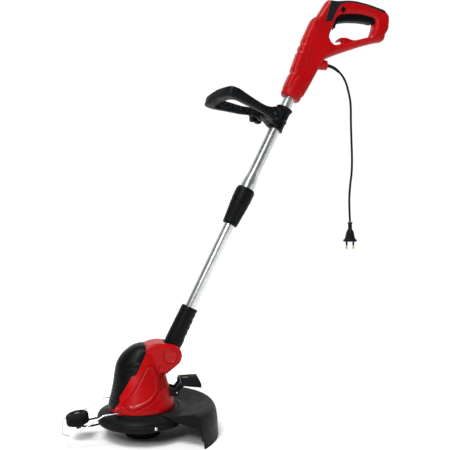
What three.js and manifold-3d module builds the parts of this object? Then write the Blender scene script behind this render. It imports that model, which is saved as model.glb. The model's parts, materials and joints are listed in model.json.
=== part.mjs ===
// Electric string trimmer: motor head on a spool, telescopic shaft, loop handle and D-handle.
// Millimetres, +Z up. The origin is on the ground under the spool axis, +X points to the user.
import * as THREE from "three";
import { mergeVertices } from "three/addons/utils/BufferGeometryUtils.js";
import Module from "manifold-3d";

const wasm = await Module();
wasm.setup();

// ---------------------------------------------------------------- driving dimensions

const GAP = 0.3; // between pieces that rest on each other
const ROUND_SIDES = 24; // facets on a large round piece
const SMALL_SIDES = 12; // facets on a pin or a screw

const DECK_RADIUS = 107;
const DECK_RING_TOP = 68;
const HOUSING_BASE = DECK_RING_TOP + GAP;
const HOUSING_WALL = 3;
const SPOOL_RADIUS = 45;
const SPOOL_HEIGHT = 36;
const EYELET_HEIGHT = 23.5;
const EYELET_ANGLE = -52; // degrees from +X

const STATOR_RADIUS = 36;
const ROTOR_RADIUS = 20;
const CORE_BOTTOM = 98;
const CORE_TOP = 146;
const SHAFT_RADIUS = 4;

const GUARD_RADIUS = 180;
const GUARD_WALL = 3;
const GUARD_NOTCH = 17;

const PIVOT_X = 60;
const PIVOT_Z = 190;
const CHEEK_RADIUS = 27.5;
const CHEEK_OUTER = 38;
const CHEEK_INNER = 24.6;
const PIVOT_BOLT_RADIUS = 5;
const LEAN = 26.2; // degrees between the shaft and the spool axis at rest
const TILT = 45; // degrees that the head folds from there

const WIRE_RADIUS = 1.5;
const WIRE_PIVOT_X = -59;
const WIRE_PIVOT_Z = 75.5;
const WIRE_HALF_WIDTH = 69;
const WIRE_FRONT_X = -186;

const WHEEL_X = -152;
const WHEEL_Z = 50;
const WHEEL_RADIUS = 26;
const WHEEL_HEIGHT = 27;
const WHEEL_TILT = 8; // degrees, top towards the front
const FORK_WIRE_RADIUS = 2.2;

const PEDAL_PIN_X = 78;
const PEDAL_PIN_Z = 100;

// Lengths along the shaft, counted from the tilt pivot.
const NECK_TOP = 123;
const SLEEVE_BOTTOM = 347;
const COLLAR_BOTTOM = 407;
const COLLAR_TOP = 444;
const LOWER_TUBE_RADIUS = 12.7;
const LOWER_TUBE_BOTTOM = 60;
const LOWER_TUBE_TOP = 515;
const UPPER_TUBE_RADIUS = 14;
const UPPER_TUBE_TOP = 760;
const TUBE_WALL = 1.1;
const BELL_RADIUS = 17.5;

const CLAMP_BOTTOM = 613;
const CLAMP_TOP = 674;
const LOOP_TURN = 14; // degrees that the loop handle is turned round the shaft
const LOOP_DROP = 12; // degrees that the loop handle hangs below square to the shaft
const LOOP_TWIST = 0.15; // how far the crossbar's far end dips, for each millimetre across
const FAR_ARM_DIP = 6;
const LOOP_BOLT_OUT = 35; // from the shaft axis to the clamp bolt
const LOOP_BOLT_ALONG = 638;

const HANDLE_HALF = 20;
const HANDLE_BOTTOM = 703;
const TRIGGER_PIVOT = [112, 1002];
const BUTTON_CENTRE = [21.5, 971];
const BUTTON_RADIUS = 6.5;

const CORD_RADIUS = 2.8;

// ---------------------------------------------------------------- finishes

function finish(color, roughness, metalness = 0) {
  return { color, roughness, metalness };
}
const RED = finish(0xc8101a, 0.35);
const BLACK = finish(0x1b1d1f, 0.6);
const SOFT = finish(0x141516, 0.85);
const RUBBER = finish(0x161718, 0.9);
const ALUMINIUM = finish(0xc9ccd0, 0.3, 1);
const STEEL = finish(0x9a9da1, 0.35, 1);
const COPPER = finish(0xb5683c, 0.4, 1);
const BRASS = finish(0xb59a5a, 0.35, 1);
const GREY = finish(0x7b858a, 0.6);
const NYLON = finish(0xd86a1c, 0.4);

// ---------------------------------------------------------------- solids

const radians = THREE.MathUtils.degToRad;

// A closed geometry as a solid that can be joined and cut, with its faces turned outwards.
function solidFrom(geometry) {
  const bare = new THREE.BufferGeometry();
  bare.setAttribute("position", geometry.getAttribute("position"));
  if (geometry.index) bare.setIndex(geometry.index);
  const merged = mergeVertices(bare, 1e-3);
  const corners = merged.index.array;
  const kept = [];
  for (let i = 0; i < corners.length; i += 3) {
    const [a, b, c] = corners.slice(i, i + 3);
    if (a !== b && b !== c && c !== a) kept.push(a, b, c);
  }
  const vertProperties = new Float32Array(merged.attributes.position.array);
  const make = (list) =>
    new wasm.Manifold(new wasm.Mesh({ numProp: 3, vertProperties, triVerts: new Uint32Array(list) }));
  const made = make(kept);
  return made.volume() >= 0 ? made : make(kept.reverse());
}

function join(...solids) {
  return solids.reduce((whole, next) => whole.add(next));
}

function cut(solid, ...tools) {
  return tools.reduce((left, tool) => left.subtract(tool), solid);
}

function moved(solid, matrix) {
  return solid.transform(matrix.elements);
}

function shifted(solid, x, y, z) {
  return moved(solid, new THREE.Matrix4().makeTranslation(x, y, z));
}

function turned(solid, axis, degrees) {
  const spin = new THREE.Matrix4();
  const angle = radians(degrees);
  if (axis === "x") spin.makeRotationX(angle);
  if (axis === "y") spin.makeRotationY(angle);
  if (axis === "z") spin.makeRotationZ(angle);
  return moved(solid, spin);
}

function mirrorY(solid) {
  return moved(solid, new THREE.Matrix4().makeScale(1, -1, 1));
}

// A solid of revolution about Z from [radius, height] points that close on themselves.
function revolve(points, sides = ROUND_SIDES, start = 0, sweep = 360) {
  const profile = [...points, points[0]].map(([r, z]) => new THREE.Vector2(r, z));
  const geometry = new THREE.LatheGeometry(profile, sides, radians(start), radians(sweep));
  geometry.rotateX(Math.PI / 2);
  return solidFrom(geometry);
}

function disc(radius, low, high, sides = SMALL_SIDES) {
  const profile = [[0, low], [radius, low], [radius, high], [0, high]];
  return revolve(profile, sides);
}

function ring(inner, outer, low, high, sides = ROUND_SIDES) {
  return revolve([[inner, low], [outer, low], [outer, high], [inner, high]], sides);
}

// A cylinder along Y from one y to another.
function crossPin(radius, x, z, low, high, sides = SMALL_SIDES) {
  return shifted(turned(disc(radius, -high, -low, sides), "x", 90), x, 0, z);
}

function box(low, high) {
  const size = low.map((value, i) => high[i] - value);
  const geometry = new THREE.BoxGeometry(...size);
  geometry.translate(...low.map((value, i) => value + size[i] / 2));
  return solidFrom(geometry);
}

// An outline through the given corners, each rounded where the sides leave room for it.
function outline(points, corner = 0) {
  const shape = new THREE.Shape();
  const count = points.length;
  const at = points.map(([x, y]) => new THREE.Vector2(x, y));
  if (!corner) {
    shape.setFromPoints(at);
    return shape;
  }
  at.forEach((point, i) => {
    const before = at[(i + count - 1) % count];
    const after = at[(i + 1) % count];
    const reach = Math.min(corner, point.distanceTo(before) * 0.45, point.distanceTo(after) * 0.45);
    const start = point.clone().lerp(before, reach / point.distanceTo(before));
    const end = point.clone().lerp(after, reach / point.distanceTo(after));
    if (i === 0) shape.moveTo(start.x, start.y);
    else shape.lineTo(start.x, start.y);
    shape.quadraticCurveTo(point.x, point.y, end.x, end.y);
  });
  return shape;
}

// An outline extruded upwards between two heights, with chamfered edges.
function slab(points, low, high, { corner = 0, chamfer = 0, steps = 2 } = {}) {
  const geometry = new THREE.ExtrudeGeometry(outline(points, corner), {
    depth: high - low - 2 * chamfer,
    bevelEnabled: chamfer > 0,
    bevelThickness: chamfer,
    bevelSize: chamfer,
    bevelOffset: -chamfer,
    bevelSegments: 1,
    curveSegments: steps,
  });
  geometry.translate(0, 0, low + chamfer);
  return solidFrom(geometry);
}

// An outline in X and Z extruded along Y between two values.
function sideSlab(points, low, high, options) {
  return turned(slab(points, -high, -low, options), "x", 90);
}

function rod(path, radius, steps, sides = 8) {
  const section = new THREE.Shape();
  section.absarc(0, 0, radius, 0, 2 * Math.PI);
  const corners = section.getSpacedPoints(sides).slice(0, sides);
  const geometry = new THREE.ExtrudeGeometry(new THREE.Shape(corners), {
    steps,
    bevelEnabled: false,
    extrudePath: path,
  });
  return solidFrom(geometry);
}

// A body through level rings, each with a front, a rear, a half width and a height.
function loft(levels, sides = 28) {
  const bottom = levels[0];
  const top = levels[levels.length - 1];
  const column = levels.map(({ z }) => new THREE.Vector2(1, z));
  const profile = [new THREE.Vector2(0, bottom.z), ...column, new THREE.Vector2(0, top.z)];
  const geometry = new THREE.LatheGeometry(profile, sides);
  geometry.rotateX(Math.PI / 2);
  const spots = geometry.getAttribute("position");
  for (let i = 0; i < spots.count; i += 1) {
    const level = levels.find(({ z }) => Math.abs(z - spots.getZ(i)) < 1e-3);
    const middle = (level.front + level.rear) / 2;
    const reach = (level.rear - level.front) / 2;
    spots.setX(i, middle + reach * spots.getX(i));
    spots.setY(i, level.half * spots.getY(i));
  }
  return solidFrom(geometry);
}

// ---------------------------------------------------------------- scene graph

const trimmer = new THREE.Group();
const deg = radians;

const shaft = new THREE.Group();
shaft.position.set(PIVOT_X, 0, PIVOT_Z);
shaft.rotation.y = deg(LEAN);
trimmer.add(shaft);

const wheelGroup = new THREE.Group();
wheelGroup.position.set(WHEEL_X, 0, WHEEL_Z);
wheelGroup.rotation.y = -deg(WHEEL_TILT);
trimmer.add(wheelGroup);

const loopGroup = new THREE.Group();
loopGroup.rotation.z = deg(LOOP_TURN);
shaft.add(loopGroup);

function addNode(group, name, solid, look) {
  const { vertProperties, triVerts } = solid.getMesh();
  const geometry = new THREE.BufferGeometry();
  geometry.setAttribute("position", new THREE.BufferAttribute(vertProperties, 3));
  geometry.setIndex(new THREE.BufferAttribute(triVerts, 1));
  geometry.computeVertexNormals();
  const mesh = new THREE.Mesh(geometry, new THREE.MeshStandardMaterial(look));
  mesh.name = name;
  group.add(mesh);
}

// ---------------------------------------------------------------- deck and guard

const DECK_TOP_EDGE = [[106.5, 53], [101, 60], [84, 66.5], [84, DECK_RING_TOP]];
const HUB_RADIUS = 18;
const BEARING_RADIUS = 11;

function makeDeck() {
  const profile = [
    [BEARING_RADIUS + GAP, 52],
    [HUB_RADIUS, 52],
    [HUB_RADIUS, 56.5],
    [97, 56.5],
    [101, 37],
    [104, 37],
    [DECK_RADIUS, 43],
    ...DECK_TOP_EDGE,
    [72, DECK_RING_TOP],
    [72, 60.5],
    [HUB_RADIUS, 60.5],
    [HUB_RADIUS, 70],
    [BEARING_RADIUS + GAP, 70],
  ];
  const legs = forkWire(FORK_WIRE_RADIUS + GAP);
  return cut(revolve(profile, 36), legs);
}

const CUT_ANGLE = 33; // degrees between X and the guard's side edges
const CUT_START = [57, 95];

function guardPlan(inset) {
  const slope = Math.tan(deg(CUT_ANGLE));
  const away = inset / Math.cos(deg(CUT_ANGLE));
  const half = (x) => CUT_START[1] + (x - CUT_START[0]) * slope - away;
  return [[-10, -half(-10)], [200, -half(200)], [200, half(200)], [-10, half(-10)]];
}

function makeGuard() {
  const outer = [[86, 69.5], [101, 64.5], [110, 66.5], [140, 73], [160, 76.5], [168, 73], [175, 60], [178, 40]];
  const under = [[177, 0], [175, 40], [172, 59], [166, 69.5], [159, 73], [140, 69.8], [112, 63.3]];
  const rim = [[108, 60.8], [101.6, 61], [86, 66.9]];
  const skin = revolve([...outer, [GUARD_RADIUS, 0], ...under, ...rim], 48);
  const filled = revolve([...outer, [178, 30], [110, 30]], 48);
  const plan = slab(guardPlan(0), -1, 100);
  const inner = slab(guardPlan(GUARD_WALL), -2, 101);
  const edgeLength = 74;
  const wallSide = [[-6, 57], [edgeLength, 41], [edgeLength + 20, 41], [edgeLength + 20, 90], [-6, 90]];
  const plate = turned(sideSlab(wallSide, 0, GUARD_WALL), "z", -CUT_ANGLE);
  const nearWall = shifted(plate, CUT_START[0], -CUT_START[1], 0);
  const walls = join(nearWall, mirrorY(nearWall)).intersect(filled).intersect(plan);
  const notch = cut(slab([[100, -170], [200, -170], [200, 170], [100, 170]], -1, GUARD_NOTCH), guardInner(7));
  return cut(join(skin.intersect(plan), cut(walls, inner)), notch);
}

function guardInner(inset) {
  return slab(guardPlan(inset), -3, 102);
}

addNode(trimmer, "deck", makeDeck(), BLACK);
addNode(trimmer, "guard", makeGuard(), BLACK);

// An angled steel plate inside the skirt that cuts the line to length.
function makeCutter() {
  const angle = [[150, 0], [172, 0], [172, 22], [170.4, 22], [170.4, 1.6], [150, 1.6]];
  return turned(slab(angle, 16, 31), "z", 34.5);
}
addNode(trimmer, "line_cutter", makeCutter(), STEEL);

// ---------------------------------------------------------------- motor housing

const HOUSING_LEVELS = [
  { z: HOUSING_BASE, front: -82, rear: 77, half: 79 },
  { z: 80, front: -81, rear: 75, half: 78 },
  { z: 95, front: -77.5, rear: 68, half: 73 },
  { z: 115, front: -73, rear: 62, half: 66 },
  { z: 136, front: -69.5, rear: 56, half: 59 },
  { z: 155, front: -67, rear: 53, half: 52 },
  { z: 175, front: -62.5, rear: 51, half: 46 },
  { z: 193, front: -52, rear: 48, half: 41 },
  { z: 206, front: -38, rear: 40, half: 36 },
  { z: 214, front: -25, rear: 26, half: 28 },
  { z: 218, front: -13, rear: 8, half: 15 },
];

function insetLevels(inset, from = HOUSING_BASE) {
  return HOUSING_LEVELS.map(({ z, front, rear, half }, i) => ({
    z: i === 0 ? from : z - inset,
    front: front + inset,
    rear: rear - inset,
    half: half - inset,
  }));
}

// The seam between the dark front cover and the red housing, from the top down.
const SEAM = [[2.5, 201], [-21, 155.5], [-32, 151], [-59, 105], [-59, 94], [-70, 78], [-76, 72]];

function coverZone(shift) {
  const edge = SEAM.map(([x, z]) => [x - shift, z]);
  const top = [SEAM[0][0] - shift, 240];
  return sideSlab([top, ...edge, [-120, 72 + shift], [-120, 240]], -120, 120);
}

// The two cheeks and the hood that carry the tilt pivot.
function makeCheeks() {
  const arc = [];
  for (let angle = 80; angle >= -45; angle -= 12.5) {
    const x = PIVOT_X + CHEEK_RADIUS * Math.cos(deg(angle));
    const z = PIVOT_Z + CHEEK_RADIUS * Math.sin(deg(angle));
    arc.push([x, z]);
  }
  const side = [[-2, 150], [-2, 214], [20, 220], [38, 222], ...arc, [48, 146]];
  return sideSlab(side, -CHEEK_OUTER, CHEEK_OUTER, { chamfer: 3 });
}

function leaned([across, along], lean) {
  const c = Math.cos(deg(lean));
  const s = Math.sin(deg(lean));
  return [PIVOT_X + across * c + along * s, PIVOT_Z - across * s + along * c];
}

// The space that the neck sweeps as the head folds.
function makeNeckSpace() {
  const room = 23.5;
  const low = LEAN + TILT;
  const sweep = [
    leaned([-room, -8], LEAN),
    leaned([-room, 110], LEAN),
    leaned([0, 160], LEAN + TILT / 2),
    leaned([room, 110], low),
    leaned([room, 0], low),
  ];
  const slot = sideSlab(sweep, -CHEEK_INNER, CHEEK_INNER);
  const barrel = crossPin(25.5, PIVOT_X, PIVOT_Z, -CHEEK_INNER, CHEEK_INNER, ROUND_SIDES);
  return join(slot, barrel);
}

function makeHousing() {
  const outside = join(loft(HOUSING_LEVELS), makeCheeks());
  const boss = crossPin(10, WIRE_PIVOT_X, WIRE_PIVOT_Z, 45, 63, SMALL_SIDES);
  const lug = sideSlab([[55, 92], [80, 93], [84.5, 100], [80, 107], [55, 116]], 17, 22);
  const inside = join(loft(insetLevels(HOUSING_WALL, HOUSING_BASE - 1)));
  const wireHole = crossPin(WIRE_RADIUS + 0.4, WIRE_PIVOT_X, WIRE_PIVOT_Z, 53, 70);
  const pinHole = crossPin(2.4, PEDAL_PIN_X, PEDAL_PIN_Z, -30, 30);
  const boltHole = crossPin(PIVOT_BOLT_RADIUS + GAP, PIVOT_X, PIVOT_Z, -50, 50);
  const recess = crossPin(16.6, PIVOT_X, PIVOT_Z, CHEEK_OUTER - 4, 50, 24);
  const deckTop = [[0, 40], [110, 40], [110, 53], [101.3, 60.5], [84.3, 66.9], [84.3, HOUSING_BASE]];
  const deckRoom = revolve([...deckTop, [0, HOUSING_BASE]], 36);
  const shell = cut(join(outside, boss, mirrorY(boss)), inside, makeNeckSpace(), boltHole);
  const drilled = cut(shell, wireHole, mirrorY(wireHole), recess, mirrorY(recess), deckRoom);
  const lugs = cut(join(lug, mirrorY(lug)), inside, loft(insetLevels(1)), pinHole);
  return join(drilled, lugs);
}

const HALF_SPLIT = 0.15;
const housing = makeHousing();
const redPart = cut(housing, coverZone(-0.4));
addNode(trimmer, "front_cover", housing.intersect(coverZone(0)), BLACK);
addNode(trimmer, "motor_housing_left", redPart.intersect(box([-130, -130, 0], [130, -HALF_SPLIT, 300])), RED);
addNode(trimmer, "motor_housing_right", redPart.intersect(box([-130, HALF_SPLIT, 0], [130, 130, 300])), RED);

// Trim panels clipped over the housing's flanks.
const PANEL_SIDE = [
  [6, 171],
  [20, 172],
  [28.5, 147],
  [28, 114],
  [11, 97],
  [-12, 87],
  [-34, 80],
  [-46, 87],
  [-50, 93],
  [-26, 121],
];
function makePanel() {
  const over = loft(insetLevels(-2.2));
  const under = loft(insetLevels(-GAP, HOUSING_BASE - 1));
  const cheeks = box([-10, -CHEEK_OUTER - GAP, 140], [100, 0, 240]);
  const flank = sideSlab(PANEL_SIDE, -90, -30, { corner: 5 });
  return cut(over.intersect(flank), under, cheeks);
}
const leftPanel = makePanel();
addNode(trimmer, "side_panel_left", leftPanel, RED);
addNode(trimmer, "side_panel_right", mirrorY(leftPanel), RED);

// The pivot bolt and the caps that cover its ends.
const BOLT_END = CHEEK_OUTER - 4.4;
addNode(trimmer, "pivot_bolt", crossPin(PIVOT_BOLT_RADIUS, PIVOT_X, PIVOT_Z, -BOLT_END, BOLT_END), STEEL);
for (const [side, sign] of [["left", -1], ["right", 1]]) {
  const ends = [sign * (BOLT_END + 0.7), sign * (CHEEK_OUTER - 1)].sort((a, b) => a - b);
  addNode(trimmer, `pivot_cap_${side}`, crossPin(16, PIVOT_X, PIVOT_Z, ...ends, 24), RED);
}

// ---------------------------------------------------------------- motor

function makeStator() {
  return ring(ROTOR_RADIUS + 1, STATOR_RADIUS, CORE_BOTTOM, CORE_TOP);
}
function makeArmature() {
  const slots = ring(SHAFT_RADIUS + 0.05, ROTOR_RADIUS, CORE_BOTTOM + 2, CORE_TOP - 2);
  const windings = ring(SHAFT_RADIUS + 0.05, ROTOR_RADIUS - 3, CORE_BOTTOM - 4, CORE_TOP + 4);
  const commutator = ring(SHAFT_RADIUS + 0.05, 10, CORE_TOP + 3, CORE_TOP + 20, 24);
  return join(slots, windings, commutator);
}
const SHAFT_TOP = 186;
const SHAFT_FOOT = 14;
addNode(trimmer, "motor_shaft", disc(SHAFT_RADIUS, SHAFT_FOOT, SHAFT_TOP), STEEL);
addNode(trimmer, "motor_stator", makeStator(), STEEL);
addNode(trimmer, "armature", makeArmature(), COPPER);
addNode(trimmer, "lower_bearing", ring(SHAFT_RADIUS + 0.05, BEARING_RADIUS, 61, 68, 24), STEEL);
addNode(trimmer, "upper_bearing", ring(SHAFT_RADIUS + 0.05, 9.5, 176, 182, 24), STEEL);

function makeEndBracket() {
  const plate = ring(9.8, 29, 173, 176.5, 24);
  const cup = revolve([[9.8, 173], [13, 173], [13, 184], [5, 184], [5, 182.3], [9.8, 182.3]], 24);
  return join(plate, cup);
}
addNode(trimmer, "motor_end_bracket", makeEndBracket(), STEEL);
for (const [side, sign] of [["left", -1], ["right", 1]]) {
  const ends = [sign * 11, sign * 27].sort((a, b) => a - b);
  const brush = box([-4, ends[0], CORE_TOP + 7], [4, ends[1], CORE_TOP + 16]);
  addNode(trimmer, `brush_holder_${side}`, brush, BRASS);
}

function makeFan() {
  const hub = ring(SHAFT_RADIUS + 0.05, 10, 73, 86, 24);
  const plate = ring(SHAFT_RADIUS + 0.05, 40, 73, 75, 24);
  const blade = box([9, -1, 74], [38, 1, 85]);
  const blades = [];
  for (let angle = 0; angle < 360; angle += 45) blades.push(turned(blade, "z", angle));
  return join(hub, plate, ...blades);
}
addNode(trimmer, "cooling_fan", makeFan(), BLACK);

// ---------------------------------------------------------------- spool

function eyeletHole(radius, angle, from, to) {
  const along = turned(disc(radius, from, to, 12), "y", 90);
  return shifted(turned(along, "z", angle), 0, 0, EYELET_HEIGHT);
}

function makeDrum() {
  const knobRoom = 15.5;
  const profile = [
    [knobRoom, 0],
    [34, 0],
    [42, 4.5],
    [SPOOL_RADIUS, 12],
    [SPOOL_RADIUS, SPOOL_HEIGHT],
    [SPOOL_RADIUS - 3, SPOOL_HEIGHT],
    [SPOOL_RADIUS - 3, 8],
    [20, 8],
    [20, 4],
    [knobRoom, 4],
  ];
  const cup = revolve(profile, 32);
  const lid = revolve([[SHAFT_RADIUS + 0.05, 33], [42.5, 33], [42.5, SPOOL_HEIGHT], [SHAFT_RADIUS + 0.05, SPOOL_HEIGHT]], 32);
  const hub = ring(SHAFT_RADIUS + 0.05, 8, 32, 51);
  const holes = [0, 180].map((turn) => eyeletHole(3.8, EYELET_ANGLE + turn, 38, 50));
  return cut(join(cup, lid, hub), ...holes);
}
addNode(trimmer, "spool_drum", makeDrum(), BLACK);
for (const [side, turn] of [["near", 0], ["far", 180]]) {
  const tube = cut(
    join(eyeletHole(3.5, EYELET_ANGLE + turn, 41, 45), eyeletHole(5.2, EYELET_ANGLE + turn, 45.3, 46.5)),
    eyeletHole(1.8, EYELET_ANGLE + turn, 38, 50),
  );
  addNode(trimmer, `line_eyelet_${side}`, join(tube, collarRing(turn)), STEEL);
}
function collarRing(turn) {
  return cut(eyeletHole(3.5, EYELET_ANGLE + turn, 44, 46), eyeletHole(1.8, EYELET_ANGLE + turn, 38, 50));
}

function makeReel() {
  const low = 9.5;
  const high = 30.5;
  const profile = [
    [9, low],
    [38, low],
    [38, low + 2],
    [17, low + 2],
    [17, high - 2],
    [38, high - 2],
    [38, high],
    [9, high],
  ];
  return revolve(profile);
}
addNode(trimmer, "line_reel", makeReel(), BLACK);
addNode(trimmer, "trimmer_line", ring(17.4, 32, 12, 28), NYLON);

// The bump knob closes the drum from below, with a spring above it.
function makeKnob() {
  const profile = [[0, 0], [14.8, 0], [14.8, 4.4], [18.5, 4.4], [18.5, 7.4], [8, 7.4], [8, 8.6], [0, 8.6]];
  return revolve(profile, 24);
}
addNode(trimmer, "bump_knob", makeKnob(), BLACK);
addNode(trimmer, "bump_spring", ring(5, 7.5, 9.2, 31, SMALL_SIDES), STEEL);

// ---------------------------------------------------------------- edge guide wheel

function forkPath() {
  const side = [[52, 24], [30, 24], [17, 20], [8, 11]];
  const nose = [[2, 5.6], [-4, 4.6], [-6, 0], [-4, -4.6], [2, -5.6]];
  const far = side.map(([x, y]) => [x, y]);
  const near = side.map(([x, y]) => [x, -y]).reverse();
  const spots = [...far, ...nose, ...near].map(([x, y]) => new THREE.Vector3(x, y, forkDrop()));
  return new THREE.CatmullRomCurve3(spots);
}
function forkDrop() {
  return -WHEEL_HEIGHT / 2 - FORK_WIRE_RADIUS - GAP;
}
// The fork's bent wire, placed in the trimmer's frame.
function forkWire(radius) {
  const wire = rod(forkPath(), radius, 30, 6);
  return shifted(turned(wire, "y", -WHEEL_TILT), WHEEL_X, 0, WHEEL_Z);
}
addNode(trimmer, "wheel_fork", forkWire(FORK_WIRE_RADIUS), BLACK);

function makeWheel() {
  const half = WHEEL_HEIGHT / 2;
  const profile = [
    [3.3, -half],
    [20, -half],
    [WHEEL_RADIUS - 1, -half + 3],
    [WHEEL_RADIUS, -half + 8],
    [WHEEL_RADIUS, half - 8],
    [WHEEL_RADIUS - 1, half - 3],
    [21, half],
    [16, half],
    [13, half - 4],
    [3.3, half - 4],
  ];
  return revolve(profile, ROUND_SIDES);
}
addNode(wheelGroup, "guide_wheel", makeWheel(), RUBBER);
function makeWheelBolt() {
  const half = WHEEL_HEIGHT / 2;
  const stem = disc(3, -half - 8, half - 3);
  const head = disc(6.5, half - 3.6, half - 0.6);
  const nut = disc(6.5, -half - 9, -half - 5.2, 6);
  return join(stem, head, nut);
}
addNode(wheelGroup, "wheel_bolt", makeWheelBolt(), STEEL);

// ---------------------------------------------------------------- folding wire guard

function makeWireGuard() {
  const half = [
    [WIRE_PIVOT_X, 57, WIRE_PIVOT_Z],
    [WIRE_PIVOT_X, 63, WIRE_PIVOT_Z],
    [-60.5, 67.5, WIRE_PIVOT_Z],
    [-65, WIRE_HALF_WIDTH, WIRE_PIVOT_Z],
    [-78, WIRE_HALF_WIDTH, 74.5],
    [-92, WIRE_HALF_WIDTH, 73],
    [-99, WIRE_HALF_WIDTH, 70.5],
    [-130, WIRE_HALF_WIDTH, 52],
    [-158, WIRE_HALF_WIDTH, 36],
    [-170, 67, 34],
    [-180, 60, 34],
    [WIRE_FRONT_X + 1, 48, 34],
    [WIRE_FRONT_X, 30, 34],
  ];
  const mirrored = half.map(([x, y, z]) => [x, -y, z]).reverse();
  const spots = [...half, [WIRE_FRONT_X, 0, 34], ...mirrored].map((spot) => new THREE.Vector3(...spot));
  return rod(new THREE.CatmullRomCurve3(spots, false, "centripetal"), WIRE_RADIUS, 60, 6);
}
addNode(trimmer, "wire_guard", makeWireGuard(), STEEL);

// ---------------------------------------------------------------- foot pedal

const PEDAL_ARCH = 38;
const PEDAL_ARCH_Z = 98;
const PEDAL_FRONT = 86;
const PEDAL_REAR = 136;

function makePedal() {
  const skin = ring(PEDAL_ARCH - 5, PEDAL_ARCH, PEDAL_FRONT, PEDAL_REAR, 32);
  const arch = shifted(turned(skin, "y", 90), 0, 0, PEDAL_ARCH_Z);
  const wedge = [[PEDAL_FRONT, 118], [PEDAL_REAR + 4, 111], [PEDAL_REAR - 6, 134], [PEDAL_FRONT + 2, 140]];
  const pad = arch.intersect(sideSlab(wedge, -60, 60));
  const arm = [[73, 96], [82, 95], [89, 106], [104, 119], [104, 130], [89, 130], [84, 118], [72, 105]];
  const near = sideSlab(arm, 11, 16);
  const barrel = crossPin(6, PEDAL_PIN_X, PEDAL_PIN_Z, 11, 16);
  const hole = crossPin(2.4, PEDAL_PIN_X, PEDAL_PIN_Z, -30, 30);
  const windows = [[4, 14], [-14, -4]].map(([a, b]) => box([93, a - 0.3, 131.5], [107, b + 0.3, 150]));
  const arms = cut(join(near, mirrorY(near), barrel, mirrorY(barrel)), hole);
  return cut(join(pad, arms), ...windows);
}
addNode(trimmer, "foot_pedal", makePedal(), BLACK);
addNode(trimmer, "pedal_icon_plate", box([93.3, 4, 131.8], [106.7, 14, 133.4]), GREY);
addNode(trimmer, "pedal_lock_plate", box([93.3, -14, 131.8], [106.7, -4, 133.4]), BRASS);
addNode(trimmer, "pedal_pin", crossPin(2.2, PEDAL_PIN_X, PEDAL_PIN_Z, -23, 23), STEEL);
addNode(trimmer, "pedal_spring", shifted(turned(ring(2.6, 4.6, -10, 10, SMALL_SIDES), "x", 90), PEDAL_PIN_X, 0, PEDAL_PIN_Z), STEEL);

// ---------------------------------------------------------------- neck and tubes

const tubeBore = LOWER_TUBE_RADIUS + 0.2;

function makeNeck() {
  const profile = [
    [0, 14],
    [21, 14],
    [22.2, 36],
    [20.7, NECK_TOP - 4],
    [19, NECK_TOP],
    [tubeBore, NECK_TOP],
    [tubeBore, LOWER_TUBE_BOTTOM],
    [9, LOWER_TUBE_BOTTOM],
    [9, 40],
    [0, 40],
  ];
  const column = revolve(profile);
  const barrel = crossPin(24, 0, 0, -24, 24, ROUND_SIDES);
  const bolt = crossPin(PIVOT_BOLT_RADIUS + GAP, 0, 0, -30, 30);
  const lead = disc(6, 5.5, 50);
  return cut(join(column, barrel), bolt, lead);
}
addNode(shaft, "neck", makeNeck(), BLACK);

function tube(profileOuter, wall) {
  const inner = profileOuter.map(([r, z]) => [r - wall, z]).reverse();
  return revolve([...profileOuter, ...inner], ROUND_SIDES);
}
const lowerTube = tube([[LOWER_TUBE_RADIUS, LOWER_TUBE_BOTTOM + GAP], [LOWER_TUBE_RADIUS, LOWER_TUBE_TOP]], TUBE_WALL);
addNode(shaft, "lower_tube", lowerTube, ALUMINIUM);

const BELL_BOTTOM = 411;
const upperTube = tube(
  [
    [BELL_RADIUS, BELL_BOTTOM],
    [BELL_RADIUS, 459],
    [UPPER_TUBE_RADIUS, 484],
    [UPPER_TUBE_RADIUS, UPPER_TUBE_TOP],
  ],
  TUBE_WALL,
);
addNode(shaft, "upper_tube", upperTube, ALUMINIUM);

function makeSleeve() {
  const profile = [
    [13.1, SLEEVE_BOTTOM],
    [17, SLEEVE_BOTTOM],
    [19.5, SLEEVE_BOTTOM + 18],
    [23, COLLAR_BOTTOM - 8],
    [23.3, COLLAR_BOTTOM],
    [17.2, COLLAR_BOTTOM],
    [17.2, SLEEVE_BOTTOM + 22],
    [13.1, SLEEVE_BOTTOM + 18],
  ];
  return revolve(profile);
}
addNode(shaft, "lock_sleeve", makeSleeve(), BLACK);

function makeCollar() {
  const profile = [
    [16.6, COLLAR_BOTTOM + GAP],
    [23.3, COLLAR_BOTTOM + GAP],
    [24, COLLAR_BOTTOM + 6],
    [24, COLLAR_TOP - 3],
    [21, COLLAR_TOP + 3],
    [BELL_RADIUS + 0.1, COLLAR_TOP + 3],
    [BELL_RADIUS + 0.1, BELL_BOTTOM - GAP],
    [16.6, BELL_BOTTOM - GAP],
  ];
  return revolve(profile);
}
addNode(shaft, "lock_collar", makeCollar(), BLACK);
addNode(shaft, "lock_collet", ring(LOWER_TUBE_RADIUS + 0.1, 16.2, 376, 442), GREY);

// ---------------------------------------------------------------- loop handle

const clampBore = UPPER_TUBE_RADIUS + 0.1;
const EAR_OUTER = 24;
const EAR_SLIT = 2;

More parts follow.
